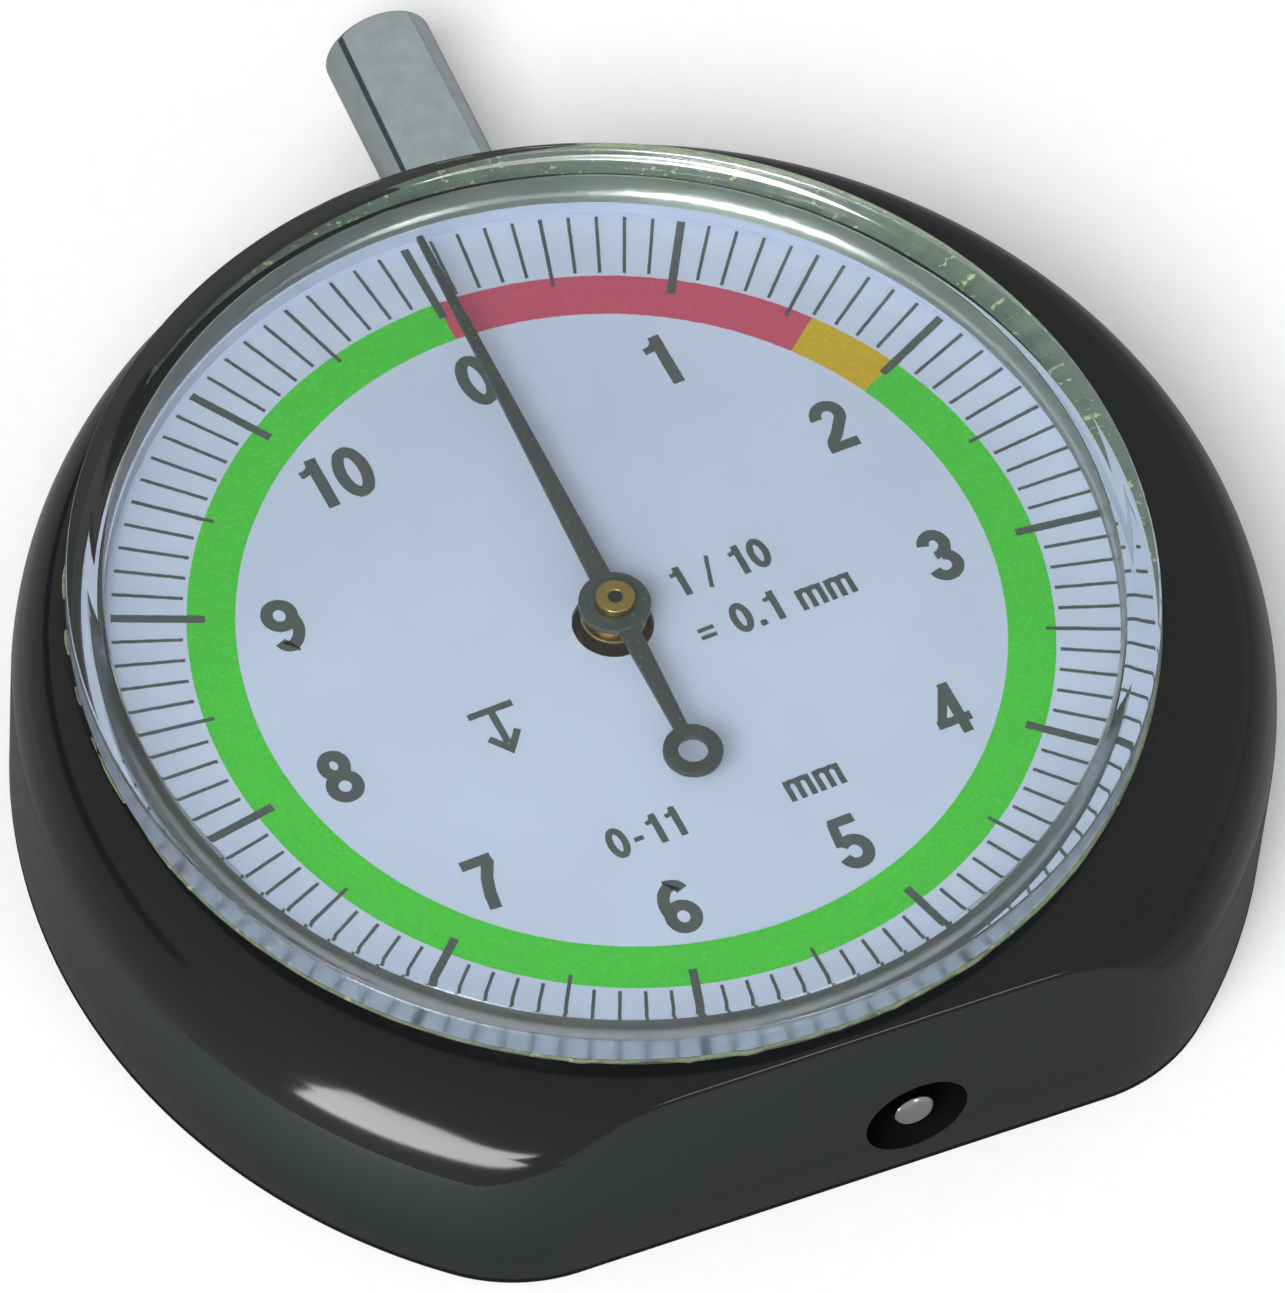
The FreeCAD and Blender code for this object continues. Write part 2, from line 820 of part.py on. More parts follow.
def takeup_wheel():
    """The wheel in mesh with the pinion, with its spokes, a space facing the pinion."""
    top = wheel_z + wheel_thickness
    first = 180.0 / wheel_teeth
    solid = slab(gear_outline(wheel_teeth, first, wheel_x), wheel_z, top)
    inner = wheel_pitch_radius - dedendum - wheel_rim
    window = tube(inner, wheel_hub_radius, wheel_z, top, wheel_x)
    spoke_half = wheel_spoke_width / 2
    for index in range(wheel_spokes // 2):
        spoke = block((wheel_x - inner, wheel_x + inner), (-spoke_half, spoke_half), (wheel_z, top))
        spoke.rotate(point(wheel_x, 0), UP, wheel_spoke_angle + 360 * index / wheel_spokes)
        window = window.cut(spoke)
    return solid.cut(window).cut(post(arbor_radius, wheel_z, top, wheel_x))


def takeup_arbor():
    """The arbor of the take-up wheel."""
    return post(arbor_radius, bridge_z, ledge_z, wheel_x)


def hairspring_collet():
    """The collet that holds the hairspring's inner end."""
    outer = hairspring_inner_radius - hairspring_strip / 2
    low = wheel_z + wheel_thickness
    return tube(outer, arbor_radius, low, hairspring_z + hairspring_height, wheel_x)


def spiral(offset):
    """One edge of the hairspring, at an offset from its middle line."""
    steps = hairspring_steps * hairspring_turns
    points = []
    for index in range(steps + 1):
        share = index / steps
        span = hairspring_outer_radius - hairspring_inner_radius
        radius = hairspring_inner_radius + span * share + offset
        turn = 2 * math.pi * hairspring_turns * share
        points.append(point(wheel_x + radius * math.cos(turn), radius * math.sin(turn), hairspring_z))
    curve = Part.BSplineCurve()
    curve.interpolate(points)
    return curve.toShape()


def hairspring():
    """The flat spiral that keeps the teeth pressed to one side."""
    half = hairspring_strip / 2
    inner = spiral(-half)
    outer = spiral(half)
    caps = []
    for index in (0, -1):
        caps.append(Part.makeLine(inner.Vertexes[index].Point, outer.Vertexes[index].Point))
    face = Part.Face(Part.Wire([inner, caps[1], outer, caps[0]]))
    return face.extrude(point(0, 0, hairspring_height))


def hairspring_stud():
    """The stud under the movement plate that holds the hairspring's outer end."""
    x = wheel_x + hairspring_outer_radius + hairspring_strip / 2 + stud_radius
    return post(stud_radius, hairspring_z - stud_overlap, movement_plate_z, x, 0)


NODES = {
    "housing": housing,
    "back_cover": back_cover,
    "back_cover_screws": back_cover_screws,
    "crystal": crystal,
    "crystal_cement": crystal_cement,
    "dial_plate": dial_plate,
    "dial_feet": dial_feet,
    "movement_plate": movement_plate,
    "movement_screws": movement_screws,
    "rear_bridge": rear_bridge,
    "rear_bearings": rear_bearings,
    "bridge_pillars": bridge_pillars,
    "bridge_screws": bridge_screws,
    "pointer_bush": pointer_bush,
    "upper_bush": upper_bush,
    "lower_bush": lower_bush,
    "guide_rail": guide_rail,
    "rail_screws": rail_screws,
    "button": button,
    "plunger_rod": plunger_rod,
    "rack": rack,
    "rack_screws": rack_screws,
    "measuring_pin": measuring_pin,
    "spring_collar": spring_collar,
    "collar_pin": collar_pin,
    "guide_pin": guide_pin,
    "return_spring": return_spring,
    "pointer_arbor": pointer_arbor,
    "pinion": pinion,
    "thrust_collar": thrust_collar,
    "pointer": pointer,
    "pointer_collet": pointer_collet,
    "takeup_wheel": takeup_wheel,
    "takeup_arbor": takeup_arbor,
    "hairspring_collet": hairspring_collet,
    "hairspring": hairspring,
    "hairspring_stud": hairspring_stud,
}

os.makedirs("parts", exist_ok=True)
for name, build in NODES.items():
    shape = build()
    if not shape.isValid():
        raise ValueError(name + " is not a valid shape")
    save(name, shape)
    print(name, len(shape.Solids), round(shape.Volume, 3))
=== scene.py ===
"""Visual model of a dial depth gauge for tyre treads, lying on its back with the dial up."""

import logging
import math
from dataclasses import dataclass, field
from enum import Enum
from typing import Callable, Iterable

import bmesh
import bpy
from mathutils import Matrix, Vector, noise


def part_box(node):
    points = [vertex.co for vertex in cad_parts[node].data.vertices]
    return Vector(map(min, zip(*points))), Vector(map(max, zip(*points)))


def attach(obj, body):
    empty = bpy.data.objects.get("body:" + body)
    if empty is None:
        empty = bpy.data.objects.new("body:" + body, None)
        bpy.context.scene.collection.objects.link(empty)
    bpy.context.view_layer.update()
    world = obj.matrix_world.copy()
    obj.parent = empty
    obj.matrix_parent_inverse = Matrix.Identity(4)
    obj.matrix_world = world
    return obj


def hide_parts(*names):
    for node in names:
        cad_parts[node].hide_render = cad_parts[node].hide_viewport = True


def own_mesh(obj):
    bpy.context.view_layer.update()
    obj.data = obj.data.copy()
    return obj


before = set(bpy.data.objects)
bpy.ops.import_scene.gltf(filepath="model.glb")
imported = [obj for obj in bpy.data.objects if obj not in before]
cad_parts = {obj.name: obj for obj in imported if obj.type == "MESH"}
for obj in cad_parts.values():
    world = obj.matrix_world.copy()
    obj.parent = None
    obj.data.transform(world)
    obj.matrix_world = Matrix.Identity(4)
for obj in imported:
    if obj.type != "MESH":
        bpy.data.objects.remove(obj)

LOG = logging.getLogger("gauge")
MM = 0.001
SMALL = 72
ROUND = 160
FINE = 720
FULL_TURN = 2 * math.pi
Point = tuple[float, float]
Colour = tuple[float, float, float, float]
Tree = bpy.types.NodeTree
Socket = bpy.types.NodeSocket
Mesh = bmesh.types.BMesh
Tone = Colour | Socket


class Axis(Enum):
    """The axis that a turned piece is turned about."""

    UPRIGHT = (0.0, 0.0, 1.0)
    PLUNGER = (0.0, 1.0, 0.0)


class Sheen(Enum):
    """How a moulded face was left by its mould: roughness and grain depth in millimetres."""

    GLOSS = (0.13, 0.0006)
    SATIN = (0.36, 0.003)


class Ink(Enum):
    """The printing inks of the dial."""

    RED = "#a23a56"
    AMBER = "#aa8b06"
    GREEN = "#36a42c"
    BLACK = "#3c4446"


class Metal(Enum):
    """The metals: colour, roughness, and the depth of tool marks in millimetres."""

    BRASS = ("#c9ae5c", 0.26, 0.004)
    PLATE_BRASS = ("#bfa457", 0.34, 0.006)
    BRONZE = ("#a9743f", 0.32, 0.004)
    CHROME = ("#e6f6fa", 0.07, 0.0005)
    STEEL = ("#cdd1cf", 0.2, 0.003)
    DARK_STEEL = ("#3a3c3d", 0.38, 0.003)
    SPRING = ("#97999c", 0.30, 0.002)


# ---- small tools ----


def linear(code: str) -> Colour:
    """Turn an sRGB hex colour into a linear one.

    Args:
        code: The colour as "#rrggbb".

    Returns:
        Red, green, blue and an alpha of 1.
    """
    parts = [int(code[i:i + 2], 16) / 255 for i in (1, 3, 5)]
    curve = [p / 12.92 if p <= 0.04045 else ((p + 0.055) / 1.055) ** 2.4 for p in parts]
    return (curve[0], curve[1], curve[2], 1.0)


def shade(code: str, factor: float) -> Colour:
    """Give a lighter or darker neighbour of a hex colour.

    Args:
        code: The colour as "#rrggbb".
        factor: What its linear parts are multiplied by.

    Returns:
        The linear colour.
    """
    red, green, blue, _ = linear(code)
    return (min(1.0, red * factor), min(1.0, green * factor), min(1.0, blue * factor), 1.0)


def add(tree: Tree, kind: str, settings: dict, links: dict) -> bpy.types.Node:
    """Add one node with its settings and links.

    Args:
        tree: The material's node tree.
        kind: The node's type name.
        settings: Node properties, and values of inputs, by name or number.
        links: Output sockets to join to inputs, by the input's name or number.

    Returns:
        The new node.
    """
    made = tree.nodes.new(kind)
    for key, value in settings.items():
        if isinstance(key, str) and hasattr(made, key):
            setattr(made, key, value)
        else:
            made.inputs[key].default_value = value
    for key, socket in links.items():
        tree.links.new(socket, made.inputs[key])
    return made


def grain(tree: Tree, size: float, detail: float = 3.0) -> Socket:
    """Add a noise pattern in the object's own coordinates.

    Args:
        tree: The material's node tree.
        size: The size of one grain in metres.
        detail: How many finer layers it has.

    Returns:
        The noise's factor output.
    """
    place = add(tree, "ShaderNodeTexCoord", {}, {})
    settings = {"Scale": 1 / size, "Detail": detail, "Roughness": 0.6}
    pattern = add(tree, "ShaderNodeTexNoise", settings, {"Vector": place.outputs["Object"]})
    return pattern.outputs["Fac"]


def spread(tree: Tree, source: Socket, low: float, high: float,
           start: float = 0.35, end: float = 0.65) -> Socket:
    """Stretch a pattern between two values.

    Args:
        tree: The material's node tree.
        source: The pattern.
        low: The value at start and below.
        high: The value at end and above.
        start: The pattern's value that gives low.
        end: The pattern's value that gives high.

    Returns:
        The stretched value.
    """
    settings = {"From Min": start, "From Max": end, "To Min": low, "To Max": high}
    made = add(tree, "ShaderNodeMapRange", settings, {"Value": source})
    return made.outputs["Result"]


def two_tone(tree: Tree, factor: Socket, first: Tone,
             second: Tone) -> Socket:
    """Mix two colours by a pattern.

    Args:
        tree: The material's node tree.
        factor: The pattern, 0 for the first colour and 1 for the second.
        first: The first colour, or the socket that gives it.
        second: The second colour, or its socket.

    Returns:
        The mixed colour.
    """
    settings, links = {"data_type": "RGBA"}, {0: factor}
    for slot, tone in ((6, first), (7, second)):
        if isinstance(tone, Socket):
            links[slot] = tone
        else:
            settings[slot] = tone
    return add(tree, "ShaderNodeMix", settings, links).outputs[2]


def relief(tree: Tree, height: Socket, depth: float,
           below: Socket | None = None) -> Socket:
    """Turn a pattern into a bump.

    Args:
        tree: The material's node tree.
        height: The pattern.
        depth: The height of the bump in metres.
        below: The normal of a coarser bump under this one, if there is one.

    Returns:
        The bumped normal.
    """
    links = {"Height": height}
    if below is not None:
        links["Normal"] = below
    made = add(tree, "ShaderNodeBump", {"Strength": 1.0, "Distance": depth}, links)
    return made.outputs["Normal"]


# ---- finishes ----


@dataclass(frozen=True)
class Finish:
    """A finish with a name; each kind of finish draws its own nodes."""

    name: str

    def draw(self, tree: Tree) -> Socket:
        """Draw the finish's nodes and give the shader's output.

        Args:
            tree: The material's node tree.

        Returns:
            The shader's output.
        """
        raise NotImplementedError

    def material(self) -> bpy.types.Material:
        """Make the finish's material once, and give it each time after.

        Returns:
            The material.
        """
        known = bpy.data.materials.get(self.name)
        if known is not None:
            return known
        made = bpy.data.materials.new(self.name)
        made.use_nodes = True
        made.node_tree.nodes.clear()
        shader = self.draw(made.node_tree)
        add(made.node_tree, "ShaderNodeOutputMaterial", {}, {"Surface": shader})
        return made


@dataclass(frozen=True)
class Phenolic(Finish):
    """Black moulded phenolic: deep black under a hard shine, slightly wavy from its mould."""

    sheen: Sheen
    code: str
    flow: float = 9 * MM
    pitting: float = 0.2 * MM
    dust: float = 0.12 * MM
    flow_depth: float = 0.02 * MM

    def draw(self, tree: Tree) -> Socket:
        """Draw the moulded black with its flow, its grain and its dust.

        Args:
            tree: The material's node tree.

        Returns:
            The shader's output.
        """
        rough, depth = self.sheen.value
        fine = grain(tree, self.pitting)
        dust = spread(tree, grain(tree, self.dust, 1.0), 0.0, 1.0, 0.72, 0.78)
        colour = two_tone(tree, dust, linear(self.code), shade(self.code, 2.6))
        normal = relief(tree, grain(tree, self.flow, 1.0), self.flow_depth)
        normal = relief(tree, fine, depth * MM, normal)
        roughness = spread(tree, fine, rough * 0.9, rough * 1.15)
        links = {"Base Color": colour, "Roughness": roughness, "Normal": normal}
        return add(tree, "ShaderNodeBsdfPrincipled", {"IOR": 1.47}, links).outputs["BSDF"]


@dataclass(frozen=True)
class Acrylic(Finish):
    """Clear moulded acrylic: bends what is behind it, with fine scratches that catch the light."""

    code: str
    scratch: float
    least_rough: float
    most_rough: float
    haze: float = 0.6 * MM

    def draw(self, tree: Tree) -> Socket:
        """Draw the clear plastic; lamps shine through it to what it covers.

        Args:
            tree: The material's node tree.

        Returns:
            The shader's output.
        """
        haze = grain(tree, self.haze, 5.0)
        normal = relief(tree, haze, self.scratch * MM)
        settings = {"Base Color": linear(self.code), "IOR": 1.49, "Transmission Weight": 1.0}
        rough = spread(tree, haze, self.least_rough, self.most_rough, 0.45, 0.75)
        links = {"Roughness": rough, "Normal": normal}
        clear = add(tree, "ShaderNodeBsdfPrincipled", settings, links).outputs["BSDF"]
        open_way = add(tree, "ShaderNodeBsdfTransparent", {"Color": linear(self.code)}, {})
        path = add(tree, "ShaderNodeLightPath", {}, {}).outputs["Is Shadow Ray"]
        links = {0: path, 1: clear, 2: open_way.outputs["BSDF"]}
        return add(tree, "ShaderNodeMixShader", {}, links).outputs["Shader"]


@dataclass(frozen=True)
class Cement(Finish):
    """Clear cement gone yellow: a lumpy bead with trapped dirt, drawn opaque, so that light does not pass
    through it.
    """

    code: str
    lump: float
    lump_size: float = 0.5 * MM
    dirt: float = 0.9 * MM
    speck: float = 0.45 * MM

    def draw(self, tree: Tree) -> Socket:
        """Draw the yellowed bead with its lumps, its yellow specks and its dirt.

        Args:
            tree: The material's node tree.

        Returns:
            The shader's output.
        """
        dirt = spread(tree, grain(tree, self.dirt, 5.0), 0.0, 1.0, 0.4, 0.7)
        colour = two_tone(tree, dirt, linear(self.code), shade(self.code, 0.55))
        specks = spread(tree, grain(tree, self.speck, 4.0), 0.0, 1.0, 0.6, 0.68)
        colour = two_tone(tree, specks, colour, linear("#a9b48c"))
        normal = relief(tree, grain(tree, self.lump_size, 4.0), self.lump * MM)
        settings = {"IOR": 1.5, "Roughness": 0.32}
        links = {"Base Color": colour, "Normal": normal}
        return add(tree, "ShaderNodeBsdfPrincipled", settings, links).outputs["BSDF"]


@dataclass(frozen=True)
class Enamel(Finish):
    """Stoved enamel on the dial's sheet: even, cool white, with a faint orange peel."""

    code: str
    tone: float = 9 * MM
    peel: float = 0.3 * MM
    peel_depth: float = 0.004 * MM

    def draw(self, tree: Tree) -> Socket:
        """Draw the enamel with its slow change of tone and its fine peel.

        Args:
            tree: The material's node tree.

        Returns:
            The shader's output.
        """
        tone = spread(tree, grain(tree, self.tone), 0.0, 1.0)
        colour = two_tone(tree, tone, linear(self.code), shade(self.code, 0.94))
        normal = relief(tree, grain(tree, self.peel), self.peel_depth)
        settings = {"IOR": 1.5, "Roughness": 0.42}
        links = {"Base Color": colour, "Normal": normal}
        return add(tree, "ShaderNodeBsdfPrincipled", settings, links).outputs["BSDF"]


@dataclass(frozen=True)
class Print(Finish):
    """Pad-printed ink: flat and dense, with the speckle of the enamel showing through."""

    ink: Ink
    speck: float = 0.16 * MM

    def draw(self, tree: Tree) -> Socket:
        """Draw the ink with its speckle.

        Args:
            tree: The material's node tree.

        Returns:
            The shader's output.
        """
        speck = spread(tree, grain(tree, self.speck, 4.0), 0.0, 1.0, 0.5, 0.72)
        colour = two_tone(tree, speck, linear(self.ink.value), shade(self.ink.value, 1.35))
        settings = {"IOR": 1.5, "Roughness": 0.5}
        return add(tree, "ShaderNodeBsdfPrincipled", settings, {"Base Color": colour}).outputs["BSDF"]


@dataclass(frozen=True)
class HandPaint(Finish):
    """Dark grey paint on the sheet-metal hand, rubbed to specks of bare metal."""

    code: str
    bare: str = "#7d8280"
    wear: float = 0.22 * MM
    brush: float = 0.2 * MM
    brush_depth: float = 0.01 * MM

    def draw(self, tree: Tree) -> Socket:
        """Draw the paint with its specks and its faint brush.

        Args:
            tree: The material's node tree.

        Returns:
            The shader's output.
        """
        worn = spread(tree, grain(tree, self.wear, 5.0), 0.0, 1.0, 0.6, 0.72)
        colour = two_tone(tree, worn, linear(self.code), linear(self.bare))
        normal = relief(tree, grain(tree, self.brush), self.brush_depth)
        links = {"Base Color": colour, "Normal": normal}
        settings = {"IOR": 1.5, "Roughness": 0.38}
        return add(tree, "ShaderNodeBsdfPrincipled", settings, links).outputs["BSDF"]


@dataclass(frozen=True)
class Worked(Finish):
    """A worked metal: turned, ground, drawn or plated, with its fine tool marks."""

    metal: Metal
    handling: float = 1.2 * MM
    tooling: float = 0.12 * MM

    def draw(self, tree: Tree) -> Socket:
        """Draw the metal with its tool marks and its handling marks.

        Args:
            tree: The material's node tree.

        Returns:
            The shader's output.
        """
        code, rough, depth = self.metal.value
        handled = grain(tree, self.handling, 4.0)
        colour = two_tone(tree, spread(tree, handled, 0.0, 1.0), linear(code), shade(code, 0.86))
        roughness = spread(tree, handled, rough * 0.8, rough * 1.3)
        normal = relief(tree, grain(tree, self.tooling), depth * MM)
        links = {"Base Color": colour, "Roughness": roughness, "Normal": normal}
        return add(tree, "ShaderNodeBsdfPrincipled", {"Metallic": 1.0}, links).outputs["BSDF"]


# Moulded phenolic off a polished mould: near black, with a soft-edged shine on the front.
CASE_GLOSS = Phenolic("phenolic_moulded_gloss", Sheen.GLOSS, "#141516")
# The same off a blasted mould: a greenish charcoal that shows no clear reflection.
CASE_SATIN = Phenolic("phenolic_moulded_satin", Sheen.SATIN, "#1d2322")
# Polished moulded acrylic: clear as glass, with a few hair scratches.
CLEAR_CAP = Acrylic("acrylic_moulded_clear", "#f4f8f4", 0.002, 0.0, 0.06)
# The cap's outer wall: dulled by handling, so that what lies behind it turns milky.
FROSTED_CAP = Acrylic("acrylic_moulded_frosted", "#e6ebe9", 0.006, 0.08, 0.26)
# The cap's inner wall as it was turned: matt, so that the divisions behind it blur away.
MATT_CAP = Acrylic("acrylic_turned_matt", "#e6ebe9", 0.006, 0.32, 0.5)
# Old cement squeezed out of the joint: a thin, lumpy, grey-green line.
YELLOW_CEMENT = Cement("cement_yellowed", "#7d8a70", 0.08)
# The cement under the cap's foot: dark grey-green, with yellow specks under the acrylic.
SEAT_CEMENT = Cement("cement_in_seat", "#5b6762", 0.02)
# Stoved white enamel, cool in tone: the lilac-white of the dial.
DIAL_ENAMEL = Enamel("enamel_stoved_white", "#abb2ce")
# Dark grey paint on thin sheet metal: the hand's soft charcoal.
HAND_PAINT = HandPaint("paint_on_hand", "#2c3334")
# Grey paint on the studio's card, which a chromed piece shows as a streak.
CARD_GREY = Enamel("card_painted_grey", "#5a6462")


def worked(metal: Metal) -> Worked:
    """Give the finish of a metal."""
    return Worked("worked_" + metal.name.lower(), metal)


def printed(ink: Ink) -> Print:
    """Give the finish of an ink."""
    return Print("ink_" + ink.name.lower(), ink)


# ---- mesh tools ----


def turned(profile: Iterable[Point], axis: Axis, centre: Vector, steps: int = ROUND) -> Mesh:
    """Turn a closed profile into a solid.

    Args:
        profile: Points of (radius, place along the axis), in metres.
        axis: The axis that it is turned about.
        centre: A point on the axis; its place along the axis is added to the profile's.
        steps: How many steps a full turn has.

    Returns:
        The solid as a bmesh.
    """
    bm = bmesh.new()
    line = Vector(axis.value)
    verts = [bm.verts.new(centre + Vector((radius, 0, 0)) + line * along) for radius, along in profile]
    edges = [bm.edges.new((verts[i - 1], verts[i])) for i in range(len(verts))]
    bmesh.ops.spin(bm, geom=verts + edges, cent=centre, axis=line, angle=FULL_TURN, steps=steps,
                   use_merge=True)
    bmesh.ops.remove_doubles(bm, verts=bm.verts[:], dist=1e-7)
    bmesh.ops.dissolve_degenerate(bm, edges=bm.edges[:], dist=1e-7)
    bmesh.ops.recalc_face_normals(bm, faces=bm.faces[:])
    return bm


def soften(bm: Mesh, width: float, angle: float = 40.0, segments: int = 3) -> None:
    """Bevel every edge that turns by more than an angle.

    Args:
        bm: The mesh.
        width: The bevel's width in metres.
        angle: The least turn in degrees.
        segments: How many steps the bevel has.
    """
    least = math.radians(angle)
    sharp = [edge for edge in bm.edges if edge.is_manifold and edge.calc_face_angle(0) > least]
    bmesh.ops.bevel(bm, geom=sharp, offset=width, offset_type="OFFSET", segments=segments, profile=0.5,
                    affect="EDGES", clamp_overlap=True, material=-1)


def blocky(low: Vector, high: Vector) -> Mesh:
    """Make a block between two corners.

    Args:
        low: The corner with the least of each coordinate.
        high: The opposite corner.

    Returns:
        The block.
    """
    bm = bmesh.new()
    size = high - low
    bmesh.ops.create_cube(bm, size=1.0)
    bmesh.ops.scale(bm, vec=size, verts=bm.verts[:])
    bmesh.ops.translate(bm, vec=(low + high) / 2, verts=bm.verts[:])
    return bm


def merged(parts: Iterable[Mesh]) -> Mesh:
    """Put several closed meshes in one, side by side.

    Args:
        parts: The meshes, which are used up.

    Returns:
        The one mesh.
    """
    whole = bmesh.new()
    for part in parts:
        mesh = bpy.data.meshes.new("part")
        part.to_mesh(mesh)
        part.free()
        whole.from_mesh(mesh)
        bpy.data.meshes.remove(mesh)
    return whole


def piece(name: str, bm: Mesh, finishes: list[Finish], body: str,
          stands_for: tuple[str, ...] = (), smooth: float = 35.0) -> bpy.types.Object:
    """Make a finished piece of a bmesh and let it ride on a body.

    Args:
        name: The piece's name.
        bm: Its mesh, which is used up.
        finishes: Its finishes, in the order of its faces' material numbers.
        body: The body it rides on.
        stands_for: The nodes it stands for.
        smooth: Faces that turn less than this many degrees shade as one.

    Returns:
        The object.
    """
    mesh = bpy.data.meshes.new(name)
    bm.to_mesh(mesh)
    bm.free()
    return piece_of_mesh(name, mesh, finishes, body, stands_for, smooth)


def piece_of_mesh(name: str, mesh: bpy.types.Mesh, finishes: list[Finish], body: str,
                  stands_for: tuple[str, ...] = (), smooth: float = 35.0) -> bpy.types.Object:
    """Make a finished piece of a mesh and let it ride on a body.

    Args:
        name: The piece's name.
        mesh: Its mesh.
        finishes: Its finishes, in the order of its faces' material numbers.
        body: The body it rides on.
        stands_for: The nodes it stands for.
        smooth: Faces that turn less than this many degrees shade as one.

    Returns:
        The object.
    """
    mesh.polygons.foreach_set("use_smooth", [True] * len(mesh.polygons))
    mesh.set_sharp_from_angle(angle=math.radians(smooth))
    for finish in finishes:
        mesh.materials.append(finish.material())
    made = bpy.data.objects.new(name, mesh)
    bpy.context.scene.collection.objects.link(made)
    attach(made, body)
    if stands_for:
        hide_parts(*stands_for)
    LOG.info("%s: %d faces on %s", name, len(mesh.polygons), body)
    return made


def carve(target: bpy.types.Object, cutters: Iterable[Mesh]) -> None:
    """Cut closed meshes out of a piece, one after another.

    Args:
        target: The piece.
        cutters: The meshes to cut away, which are used up.
    """
    tools = []
    for cutter in cutters:
        mesh = bpy.data.meshes.new("cutter")
        cutter.to_mesh(mesh)
        cutter.free()
        tools.append(bpy.data.objects.new("cutter", mesh))
        bpy.context.scene.collection.objects.link(tools[-1])
        cut = target.modifiers.new("bore", "BOOLEAN")
        cut.operation = "DIFFERENCE"
        cut.solver = "EXACT"
        cut.object = tools[-1]
    graph = bpy.context.evaluated_depsgraph_get()
    carved = bpy.data.meshes.new_from_object(target.evaluated_get(graph))
    target.modifiers.clear()
    old = target.data
    target.data = carved
    bpy.data.meshes.remove(old)
    for tool in tools:
        bpy.data.objects.remove(tool)
    carved.set_sharp_from_angle(angle=math.radians(35))


def dress(node: str, finish: Finish) -> None:
    """Give a frame node a finish.

    Args:
        node: The node's name.
        finish: Its finish.
    """
    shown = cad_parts[node]
    shown.data.materials.clear()
    shown.data.materials.append(finish.material())
    shown.data.polygons.foreach_set("material_index", [0] * len(shown.data.polygons))
    LOG.info("%s: frame node in %s", node, finish.name)


# ---- the case ----


